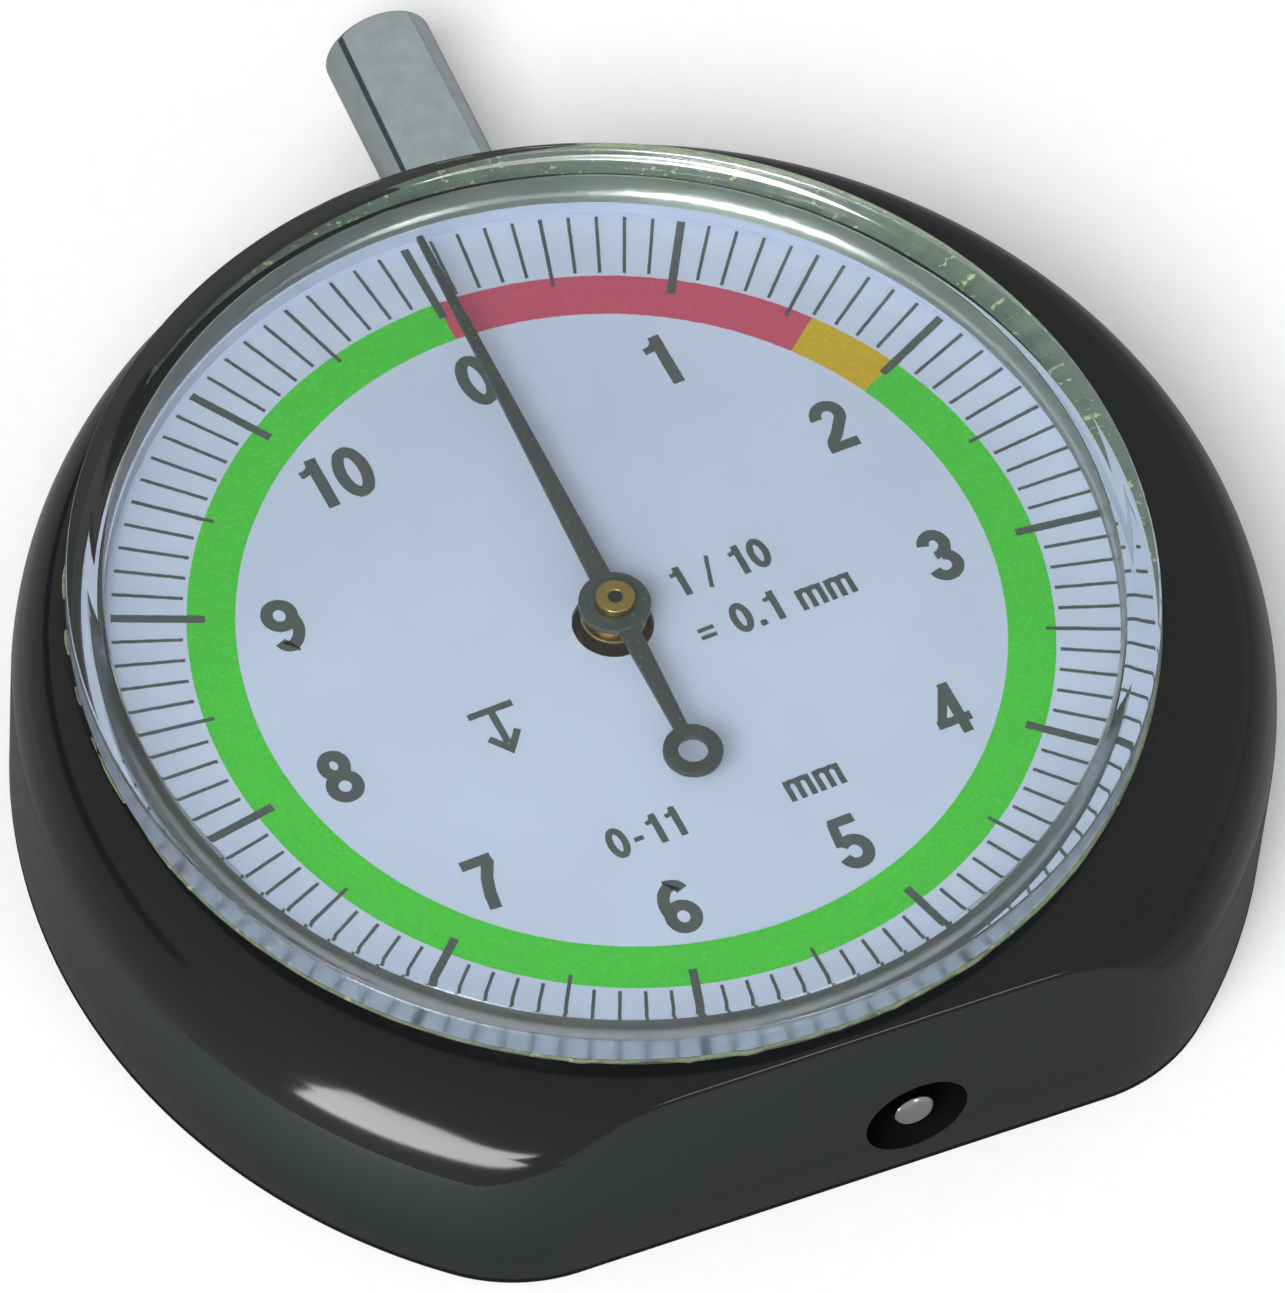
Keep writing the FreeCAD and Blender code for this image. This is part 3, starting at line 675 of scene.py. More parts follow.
@dataclass
class Case:
    """The moulded case: a round wall with a flat base and a swept shoulder."""

    centre: Vector = field(default_factory=lambda: Vector((1.3 * MM, -1.4 * MM, 0)))
    radius: float = 30.5 * MM
    corner_radius: float = 9.0 * MM
    shoulder_inset: float = 3.2 * MM
    side_height: float = 7.1 * MM
    satin_height: float = 7.5 * MM
    satin_lean: float = 0.1
    blend: float = 0.7 * MM
    lip_radius: float = 0.3 * MM
    edge_radius: float = 0.4 * MM
    ledge_radius: float = 20.8 * MM
    dial_bore: float = 25.3 * MM
    cavity_radius: float = 24.4 * MM
    cover_seat: float = 1.2 * MM
    recess_depth: float = 2.6 * MM
    recess_radius: float = 2.6 * MM
    ledge_drop: float = 1.4 * MM
    seat_gap: float = 0.2 * MM
    cover_gap: float = 0.05 * MM
    past: float = 2 * MM
    columns: int = 720
    shoulder_steps: int = 72
    edge_steps: int = 4
    side_shares: tuple[float, ...] = (0.35, 0.7)
    bore_steps: int = 96

    def build(self) -> None:
        """Build the case, dress the cover and its screws."""
        low, self.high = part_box("housing")
        self.base_y = low.y
        self.crystal_low, self.crystal_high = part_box("crystal")
        self.dial_low, self.dial_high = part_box("dial_plate")
        bm = self.outline()
        self.raise_wall(bm)
        self.mark_satin(bm)
        housing = piece("housing_shell", bm, [CASE_GLOSS, CASE_SATIN], "case", ("housing",))
        carve(housing, self.bores())
        dress("back_cover", CASE_SATIN)
        dress("back_cover_screws", worked(Metal.STEEL))

    def corner(self) -> tuple[Vector, float]:
        """Find the right-hand rounded corner.

        Returns:
            The corner arc's centre, and the angle that the arc turns through.
        """
        reach = self.radius - self.corner_radius
        drop = self.centre.y - (self.base_y + self.corner_radius)
        side = math.sqrt(reach ** 2 - drop ** 2)
        place = Vector((self.centre.x + side, self.base_y + self.corner_radius, 0))
        return place, math.asin(side / reach)

    def outline(self) -> Mesh:
        """Draw the case's outline at the back face.

        Returns:
            A closed loop of edges.
        """
        bm = bmesh.new()
        corner, turn = self.corner()
        up = Vector((0, 0, 1))
        start = bm.verts.new((corner.x, self.base_y, 0))
        last = [start]
        mirrored = Vector((2 * self.centre.x - corner.x, corner.y, 0))
        arcs = ((corner, turn), (self.centre, FULL_TURN - 2 * turn), (mirrored, turn))
        for middle, angle in arcs:
            steps = max(6, round(self.columns * angle / FULL_TURN))
            done = bmesh.ops.spin(bm, geom=last, cent=middle, axis=up, angle=angle, steps=steps)
            last = [item for item in done["geom_last"] if isinstance(item, bmesh.types.BMVert)]
        base = bm.edges.new((last[0], start))
        bmesh.ops.subdivide_edges(bm, edges=[base], cuts=60)
        return bm

    def raise_wall(self, bm: Mesh) -> None:
        """Raise the outline into a closed solid: outside, front, hollows and back.

        Args:
            bm: The outline.
        """
        first = bm.edges[:]
        rims = {vert: vert.co.copy() for edge in first for vert in edge.verts}
        loop = first
        for place in self.levels():
            done = bmesh.ops.extrude_edge_only(bm, edges=loop)["geom"]
            fresh = [item for item in done if isinstance(item, bmesh.types.BMVert)]
            loop = [item for item in done if isinstance(item, bmesh.types.BMEdge)]
            old = self.below(fresh, rims)
            rims = {vert: old[vert] for vert in fresh}
            for vert in fresh:
                vert.co = place(rims[vert])
        bmesh.ops.bridge_loops(bm, edges=loop + first)
        bmesh.ops.recalc_face_normals(bm, faces=bm.faces[:])

    def below(self, fresh: list[bmesh.types.BMVert], rims: dict) -> dict:
        """Find the outline point under each vertex of a new loop.

        Args:
            fresh: The vertices just extruded.
            rims: The outline point of each vertex of the loop before.

        Returns:
            The outline point of each new vertex.
        """
        found = {}
        for vert in fresh:
            for edge in vert.link_edges:
                other = edge.other_vert(vert)
                if other in rims:
                    found[vert] = rims[other]
        return found

    def levels(self) -> list[Callable[[Vector], Vector]]:
        """Give the rule of every loop of the wall, from the back edge round to the back face.

        Returns:
            The functions from an outline point to each loop's point.
        """
        rules = []
        for step in range(1, self.edge_steps + 1):
            turn = math.pi / 2 * step / self.edge_steps
            inset = self.edge_radius * (1 - math.sin(turn))
            rules.append(self.outer(self.radius, self.edge_radius * (1 - math.cos(turn)), inset))
        for share in self.side_shares:
            rules.append(self.outer(self.radius, self.satin_height * share, 0))
        rise = self.high.z - self.side_height
        first = math.asin((self.satin_height - self.side_height) / rise)
        for step in range(self.shoulder_steps + 1):
            turn = first + (math.pi / 2 - first) * step / self.shoulder_steps
            height = self.side_height + rise * math.sin(turn)
            across = self.radius - self.shoulder_inset * (1 - math.cos(turn))
            left = (self.high.z - height) / self.lip_radius
            inset = self.lip_radius * (1 - math.sqrt(max(0.0, 1 - max(0.0, 1 - left) ** 2)))
            rules.append(self.outer(across, height, inset))
        middle = (self.crystal_low + self.crystal_high) / 2
        seat = (self.crystal_high.x - self.crystal_low.x) / 2 + self.seat_gap
        dial = (self.dial_low + self.dial_high) / 2
        centre = Vector((0, 0, 0))
        cover_low, cover_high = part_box("back_cover")
        cover = (cover_high.x - cover_low.x) / 2 + self.cover_gap
        ledge = self.dial_low.z - self.ledge_drop
        steps = (
            (middle, seat, self.high.z), (middle, seat, self.crystal_low.z),
            (dial, self.dial_bore, self.crystal_low.z), (dial, self.dial_bore, self.dial_low.z),
            (centre, self.ledge_radius, self.dial_low.z), (centre, self.ledge_radius, ledge),
            (centre, self.cavity_radius, ledge), (centre, self.cavity_radius, self.cover_seat),
            (centre, cover, self.cover_seat), (centre, cover, 0.0),
        )
        rules += [self.circle(*step) for step in steps]
        return rules

    def outer(self, across: float, height: float, inset: float) -> Callable[[Vector], Vector]:
        """Give the rule of a loop on the outside.

        Args:
            across: The radius that the shoulder leaves at this height.
            height: The loop's height.
            inset: How far the outline itself comes in at this height.

        Returns:
            A function from an outline point to the loop's point.
        """
        def rule(rim: Vector) -> Vector:
            """Bring one outline point in to the nearer of the outline and the shoulder.

            Args:
                rim: The outline point.

            Returns:
                The loop's point.
            """
            way = Vector((rim.x - self.centre.x, rim.y - self.centre.y, 0))
            reach = way.length - inset
            blend = min(self.blend, 1.4 * (self.radius - across)) + 1e-9
            gap = max(0.0, blend - abs(reach - across)) / blend
            reach = min(reach, across) - gap ** 2 * blend / 4
            place = self.centre + way.normalized() * reach
            return Vector((place.x, place.y, height))
        return rule

    def circle(self, middle: Vector, radius: float, height: float) -> Callable[[Vector], Vector]:
        """Give the rule of a round loop of a hollow.

        Args:
            middle: The circle's centre.
            radius: Its radius.
            height: The loop's height.

        Returns:
            A function from an outline point to the loop's point.
        """
        def rule(rim: Vector) -> Vector:
            """Move one outline point onto the circle.

            Args:
                rim: The outline point.

            Returns:
                The loop's point.
            """
            way = Vector((rim.x - self.centre.x, rim.y - self.centre.y, 0)).normalized()
            return Vector((middle.x + way.x * radius, middle.y + way.y * radius, height))
        return rule

    def mark_satin(self, bm: Mesh) -> None:
        """Give the upright sides, the flat base and the hollows the satin finish.

        Args:
            bm: The case.
        """
        for face in bm.faces:
            middle = face.calc_center_median()
            side = middle.z < self.satin_height or abs(face.normal.z) < self.satin_lean
            hollow = (middle - Vector((0, 0, middle.z))).length < self.dial_bore
            face.material_index = 1 if side or hollow else 0

    def bores(self) -> list[Mesh]:
        """Give the cutters of the recess and of both bushes' bores.

        Returns:
            The cutters.
        """
        pin_low, pin_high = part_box("measuring_pin")
        middle = (pin_low + pin_high) / 2
        bush_low, bush_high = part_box("upper_bush")
        inner_low, inner_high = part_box("lower_bush")
        spans = (
            (self.recess_radius, self.base_y - self.past, self.base_y + self.recess_depth),
            ((inner_high.x - inner_low.x) / 2, self.base_y, inner_high.y + self.past / 2),
            ((bush_high.x - bush_low.x) / 2, self.cavity_radius - self.past, bush_high.y + self.past),
        )
        cutters = []
        for radius, start, end in spans:
            profile = ((0, start), (radius, start), (radius, end), (0, end))
            centre = Vector((middle.x, 0, middle.z))
            cutters.append(turned(profile, Axis.PLUNGER, centre, self.bore_steps))
        return cutters


# ---- the crystal ----


@dataclass
class Crystal:
    """The clear cap with its thick rim, and the cement round it."""

    wall: float = 1.7 * MM
    sheet: float = 1.5 * MM
    slope: float = 1.2 * MM
    drop: float = 0.5 * MM
    edge: float = 0.18 * MM
    bead: float = 0.3 * MM
    film_width: float = 0.75 * MM
    film_depth: float = 0.06 * MM
    film_gap: float = 0.015 * MM
    sleeve: float = 0.17 * MM
    rim_width: float = 0.3 * MM
    near: float = 0.02 * MM

    def build(self) -> None:
        """Build the cap and its bead of cement."""
        low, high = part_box("crystal")
        self.centre = Vector(((low.x + high.x) / 2, (low.y + high.y) / 2, 0))
        self.radius = (high.x - low.x) / 2
        self.seat, self.top = low.z, high.z
        self.low = low.z + self.film_depth
        piece("dial_rim", self.rim(), [DIAL_ENAMEL], "case")
        piece("crystal_cap", self.cap(), [CLEAR_CAP, FROSTED_CAP, MATT_CAP], "case",
              ("crystal",), 25)
        piece("cement_film", self.film(), [SEAT_CEMENT], "case")
        piece("cement_bead", self.bead_ring(), [YELLOW_CEMENT], "case", ("crystal_cement",), 60)

    def cap(self) -> Mesh:
        """Turn the cap from its profile, with softened edges.

        Returns:
            The cap, its outer wall marked frosted and its inner wall matt.
        """
        inner = self.radius - self.wall
        under = self.top - self.sheet
        profile = (
            (0, self.top), (self.radius - self.slope, self.top), (self.radius, self.top - self.drop),
            (self.radius, self.low), (inner, self.low), (inner, under), (0, under),
        )
        bm = turned(profile, Axis.UPRIGHT, self.centre, FINE)
        soften(bm, self.edge, 15, 3)
        for face in bm.faces:
            middle = face.calc_center_median() - self.centre
            if middle.xy.length > self.radius - 5 * self.near:
                face.material_index = 1
            elif abs(middle.xy.length - inner) < self.near:
                face.material_index = 2
        return bm

    def film(self) -> Mesh:
        """Lay the cement in the seat: a film under the cap's foot and a sleeve round it.

        Returns:
            The film and the sleeve.
        """
        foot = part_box("housing")[1].z
        inner, out = self.radius - self.film_width, self.radius + self.sleeve
        top = self.low - self.film_gap
        flat = ((inner, self.seat), (out, self.seat), (out, top), (inner, top))
        inner, top = self.radius + self.film_gap, foot - self.bead / 6
        upright = ((inner, self.low), (out, self.low), (out, top), (inner, top))
        return merged([turned(profile, Axis.UPRIGHT, self.centre, FINE) for profile in (flat, upright)])

    def bead_ring(self) -> Mesh:
        """Lay the uneven bead that stands in the gap round the cap.

        Returns:
            The bead.
        """
        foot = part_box("housing")[1].z
        profile = []
        for step in range(10):
            turn = FULL_TURN * step / 10
            across = self.radius + self.bead * (0.1 + 0.45 * math.cos(turn))
            profile.append((across, foot + self.bead * 0.5 * math.sin(turn)))
        bead = turned(profile, Axis.UPRIGHT, self.centre, 360)
        for vert in bead.verts:
            vert.co += self.lumps(vert.co)
        return bead

    def rim(self) -> Mesh:
        """Turn the dial's white upturned edge, which the cap's foot presses on.

        Returns:
            The upturned edge.
        """
        low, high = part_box("dial_plate")
        centre = Vector(((low.x + high.x) / 2, (low.y + high.y) / 2, 0))
        inner = (high.x - low.x) / 2 + self.near / 2
        outer, top = inner + self.rim_width, self.seat - self.near
        profile = ((inner, low.z), (outer, low.z), (outer, top), (inner, top))
        return turned(profile, Axis.UPRIGHT, centre, FINE)

    def lumps(self, place: Vector) -> Vector:
        """Give the shift of one point of the bead.

        Args:
            place: The point.

        Returns:
            Its shift: outwards and up in lumps, most beside the flat base.
        """
        way = Vector((place.x - self.centre.x, place.y - self.centre.y, 0)).normalized()
        near = max(0.0, -way.y) ** 6
        wave = noise.noise(place / (1.6 * MM)) + 0.5 * noise.noise(place / (0.6 * MM))
        size = (0.05 + 0.2 * near) * MM * wave
        sink = Vector((0, 0, -0.14 * MM)) * (1 - near)
        return way * size + Vector((0, 0, 0.6 * size)) + sink


# ---- printed marks ----


@dataclass(frozen=True)
class Stroke:
    """One stroke of a printed mark: points of its middle line in a box one high."""

    points: tuple[Point, ...]
    closed: bool = False
    width: float = 0.2

    def mesh(self, height: float, thick: float) -> Mesh:
        """Make the stroke's ribbon.

        Args:
            height: The mark's height in metres.
            thick: The ink's thickness in metres.

        Returns:
            The ribbon, as a thin solid.
        """
        bm = bmesh.new()
        sides = [self.side(bm, height, sign * self.width / 2) for sign in (-1, 1)]
        done = bmesh.ops.bridge_loops(bm, edges=sides[0] + sides[1])
        raised = bmesh.ops.extrude_face_region(bm, geom=done["faces"])["geom"]
        tops = [item for item in raised if isinstance(item, bmesh.types.BMVert)]
        bmesh.ops.translate(bm, vec=(0, 0, thick), verts=tops)
        bmesh.ops.recalc_face_normals(bm, faces=bm.faces[:])
        return bm

    def side(self, bm: Mesh, height: float, away: float) -> list[bmesh.types.BMEdge]:
        """Draw one side of the ribbon.

        Args:
            bm: The ribbon's mesh.
            height: The mark's height in metres.
            away: The side's distance from the middle line, as a share of the height.

        Returns:
            The side's edges.
        """
        line = [Vector((x, y, 0)) for x, y in self.points]
        count = len(line)
        verts = []
        for index, spot in enumerate(line):
            before = line[index - 1] if index or self.closed else None
            after = line[(index + 1) % count] if index + 1 < count or self.closed else None
            ways = [(spot - before).normalized()] if before else []
            ways += [(after - spot).normalized()] if after else []
            mean = sum(ways, Vector()).normalized()
            shift = Vector((-mean.y, mean.x, 0)) * away / max(0.5, mean.dot(ways[0]))
            verts.append(bm.verts.new((spot + shift) * height))
        edges = [bm.edges.new(pair) for pair in zip(verts, verts[1:])]
        if self.closed:
            edges.append(bm.edges.new((verts[-1], verts[0])))
        return edges


def bow(x: float, y: float, wide: float, high: float, start: float, end: float) -> tuple[Point, ...]:
    """Give the points of a bow.

    Args:
        x: The bow's middle.
        y: The bow's middle.
        wide: Half its width.
        high: Half its height.
        start: Its first angle in degrees, counted from the right.
        end: Its last angle.

    Returns:
        The points.
    """
    steps = max(8, round(abs(end - start) / 9))
    turns = [math.radians(start + (end - start) * step / steps) for step in range(steps + 1)]
    return tuple((x + wide * math.cos(turn), y + high * math.sin(turn)) for turn in turns)


def ring(x: float, y: float, wide: float, high: float) -> Stroke:
    """Give a closed round stroke; the arguments are those of a bow."""
    return Stroke(bow(x, y, wide, high, 0, 360)[:-1], True)


@dataclass(frozen=True)
class Mark:
    """A printed figure or sign: its strokes and the width it takes."""

    width: float
    strokes: tuple[Stroke, ...]


def marks() -> dict[str, Mark]:
    """Give the strokes of every figure and sign on the dial.

    Returns:
        Each figure's mark by its character.
    """
    six = (ring(0.3, 0.305, 0.2, 0.215),
           Stroke(bow(0.4, 0.52, 0.295, 0.39, 193, 98) + bow(0.345, 0.7, 0.16, 0.21, 85, 20)))
    nine = tuple(Stroke(tuple((0.6 - x, 1 - y) for x, y in stroke.points), stroke.closed) for stroke in six)
    low = tuple(Stroke(((x, 0.0), (x, 0.7)), width=0.165) for x in (0.08, 0.39, 0.7))
    arches = tuple(Stroke(bow(x, 0.44, 0.155, 0.2, 150, 0), width=0.15) for x in (0.235, 0.545))
    return {
        "0": Mark(0.6, (ring(0.3, 0.5, 0.2, 0.41),)),
        "1": Mark(0.5, (Stroke(((0.34, 0.0), (0.34, 1.0)), width=0.2),
                        Stroke(((0.08, 0.76), (0.2, 0.775), (0.28, 0.84), (0.32, 0.97)), width=0.13))),
        "2": Mark(0.6, (Stroke(bow(0.3, 0.7, 0.2, 0.205, 185, -30) + ((0.3, 0.35), (0.16, 0.2), (0.13, 0.1))),
                        Stroke(((0.04, 0.085), (0.56, 0.085)), width=0.17))),
        "3": Mark(0.6, (Stroke(bow(0.29, 0.715, 0.17, 0.195, 170, -80)),
                        Stroke(bow(0.29, 0.295, 0.205, 0.205, 82, -170)),
                        Stroke(((0.22, 0.515), (0.36, 0.515)), width=0.15))),
        "4": Mark(0.6, (Stroke(((0.43, 0.0), (0.43, 1.0)), width=0.18),
                        Stroke(((0.02, 0.28), (0.6, 0.28)), width=0.16),
                        Stroke(((0.1, 0.3), (0.42, 0.93)), width=0.15))),
        "5": Mark(0.6, (Stroke(((0.12, 0.915), (0.54, 0.915)), width=0.17),
                        Stroke(((0.17, 0.93), (0.125, 0.47)), width=0.16),
                        Stroke(bow(0.29, 0.315, 0.21, 0.225, 140, -165)))),
        "6": Mark(0.6, six),
        "7": Mark(0.6, (Stroke(((0.04, 0.91), (0.56, 0.91)), width=0.18),
                        Stroke(((0.49, 0.88), (0.34, 0.58), (0.26, 0.3), (0.225, 0.0))))),
        "8": Mark(0.6, (ring(0.3, 0.72, 0.165, 0.19), ring(0.3, 0.3, 0.205, 0.21))),
        "9": Mark(0.6, nine),
        "m": Mark(0.8, low + arches),
        ".": Mark(0.24, (Stroke(((0.12, 0.0), (0.12, 0.19)), width=0.19),)),
        "-": Mark(0.4, (Stroke(((0.06, 0.4), (0.34, 0.4)), width=0.15),)),
        "/": Mark(0.34, (Stroke(((0.02, -0.02), (0.32, 1.02)), width=0.12),)),
        "=": Mark(0.6, (Stroke(((0.06, 0.3), (0.54, 0.3)), width=0.13),
                        Stroke(((0.06, 0.56), (0.54, 0.56)), width=0.13))),
        " ": Mark(0.3, ()),
    }


def written(text: str, height: float, thick: float, gap: float = 0.09) -> Mesh:
    """Write a short line of figures and signs about its own middle.

    Args:
        text: What it says.
        height: The figures' height in metres.
        thick: The ink's thickness in metres.
        gap: The space between two figures, as a share of the height.

    Returns:
        The line.
    """
    known = marks()
    length = sum(known[sign].width + gap for sign in text) - gap
    pen, parts = -length / 2, []
    for sign in text:
        for index, stroke in enumerate(known[sign].strokes):
            part = stroke.mesh(height, thick * (1 + index / 6))
            bmesh.ops.translate(part, vec=(pen * height, -height / 2, 0), verts=part.verts[:])
            parts.append(part)
        pen += known[sign].width + gap
    return merged(parts)


# ---- the dial ----


@dataclass
class Dial:
    """The dial's print: coloured bands, divisions, numbers and small marks."""

    divisions: int = 110
    turn: float = math.radians(3.15)
    middle: Vector = field(default_factory=lambda: Vector((0.4 * MM, -0.2 * MM, 0)))
    band_inner: float = 18.66 * MM
    band_outer: float = 21.0 * MM
    tick_outer: float = 24.65 * MM
    major_inner: float = 20.1 * MM
    half_inner: float = 20.5 * MM
    minor_inner: float = 21.2 * MM
    major_width: float = 0.42 * MM
    half_width: float = 0.19 * MM
    minor_width: float = 0.17 * MM
    print_height: float = 0.02 * MM
    number_radius: float = 16.25 * MM
    number_size: float = 3.05 * MM
    number_shift: Vector = field(default_factory=lambda: Vector((-0.15, -0.25, 0)) * MM)
    text_size: float = 1.75 * MM
    sign_size: float = 2.6 * MM
    sign_spot: Vector = field(default_factory=lambda: Vector((-9.2, -4.6, 0)) * MM)
    texts: tuple = (("dial_mark_step", "1 / 10", 5.8, 1.1), ("dial_mark_unit", "= 0.1 mm", 7.2, -2.0),
                    ("dial_mark_range", "0-11", -4.3, -11.4), ("dial_mark_range_unit", "mm", 4.4, -11.8))
    bands: tuple = ((0.0, 1.6, Ink.RED), (1.6, 2.0, Ink.AMBER), (2.0, 11.0, Ink.GREEN))

    def build(self) -> None:
        """Print the dial and dress its plate."""
        self.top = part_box("dial_plate")[1].z
        dress("dial_plate", DIAL_ENAMEL)
        for start, end, ink in self.bands:
            self.put("dial_band_" + ink.name.lower(), self.band(start, end), ink)
        self.put("dial_divisions", self.ticks(), Ink.BLACK)
        for number in range(11):
            self.number(number)
        for name, text, x, y in self.texts:
            self.words(name, text, self.text_size, Vector((x, y, 0)) * MM)
        self.depth_sign()

    def put(self, name: str, bm: Mesh, ink: Ink) -> None:
        """Turn a print to the dial's zero, lay it on the plate and ink it.

        Args:
            name: The print's name.
            bm: Its mesh about the dial's own centre and zero.
            ink: Its ink.
        """
        bm.transform(self.place())
        piece(name, bm, [printed(ink)], "case")

    def place(self) -> Matrix:
        """Give the move from the dial's own centre and zero to the plate."""
        spot = self.middle + Vector((0, 0, self.top))
        return Matrix.Translation(spot) @ Matrix.Rotation(self.turn, 4, "Z")

    def angle(self, reading: float) -> float:
        """Give the clockwise angle of a reading in millimetres."""
        return FULL_TURN * reading / 11

    def band(self, start: float, end: float) -> Mesh:
        """Spin one coloured band between two readings.

        Args:
            start: The first reading in millimetres.
            end: The last reading.

        Returns:
            The band.
        """
        bm = bmesh.new()
        corners = ((self.band_inner, 0), (self.band_outer, 0),
                   (self.band_outer, self.print_height), (self.band_inner, self.print_height))
        verts = [bm.verts.new((0, radius, height)) for radius, height in corners]
        face = bm.faces.new(verts)
        bmesh.ops.rotate(bm, verts=verts, cent=(0, 0, 0), matrix=Matrix.Rotation(-self.angle(start), 3, "Z"))
        span = self.angle(end) - self.angle(start)
        steps = max(8, round(180 * span / FULL_TURN))
        bmesh.ops.spin(bm, geom=[face] + face.edges[:] + verts, cent=(0, 0, 0), axis=(0, 0, -1),
                       angle=span, steps=steps)
        bmesh.ops.recalc_face_normals(bm, faces=bm.faces[:])
        return bm

    def ticks(self) -> Mesh:
        """Lay out all the divisions, long at each millimetre and middling at each half.

        Returns:
            The divisions.
        """
        parts = []
        for index in range(self.divisions):
            inner, width = self.minor_inner, self.minor_width
            if index % 5 == 0:
                inner, width = self.half_inner, self.half_width
            if index % 10 == 0:
                inner, width = self.major_inner, self.major_width
            lift = self.print_height * 1.6
            tick = blocky(Vector((-width / 2, inner, 0)), Vector((width / 2, self.tick_outer, lift)))
            tick.transform(Matrix.Rotation(-self.angle(index / 10), 4, "Z"))
            parts.append(tick)
        return merged(parts)

    def number(self, number: int) -> None:
        """Print one number, upright on the dial.

        Args:
            number: The number.
        """
        turn = self.angle(number)
        spot = Vector((math.sin(turn), math.cos(turn), 0)) * self.number_radius + self.number_shift
        self.words("dial_number_%d" % number, str(number), self.number_size, spot)

    def words(self, name: str, text: str, size: float, spot: Vector) -> None:
        """Print a short line centred on a spot.

        Args:
            name: The print's name.
            text: What it says.
            size: The height of its figures in metres.
            spot: Its centre on the dial.
        """
        bm = written(text, size, self.print_height)
        bmesh.ops.translate(bm, vec=spot, verts=bm.verts[:])
        self.put(name, bm, Ink.BLACK)

    def depth_sign(self) -> None:
        """Print the general sign for depth: an arrow down from a bar."""
        lines = (((0.0, 1.0), (0.9, 1.0)), ((0.45, 1.0), (0.45, 0.2)),
                 ((0.16, 0.42), (0.45, 0.06), (0.74, 0.42)))
        strokes = [Stroke(line, width=0.14) for line in lines]
        bm = merged([stroke.mesh(self.sign_size, self.print_height * (1 + index / 6))
                     for index, stroke in enumerate(strokes)])
        bmesh.ops.translate(bm, vec=self.sign_spot, verts=bm.verts[:])
        self.put("dial_mark_depth", bm, Ink.BLACK)


# ---- the hand ----


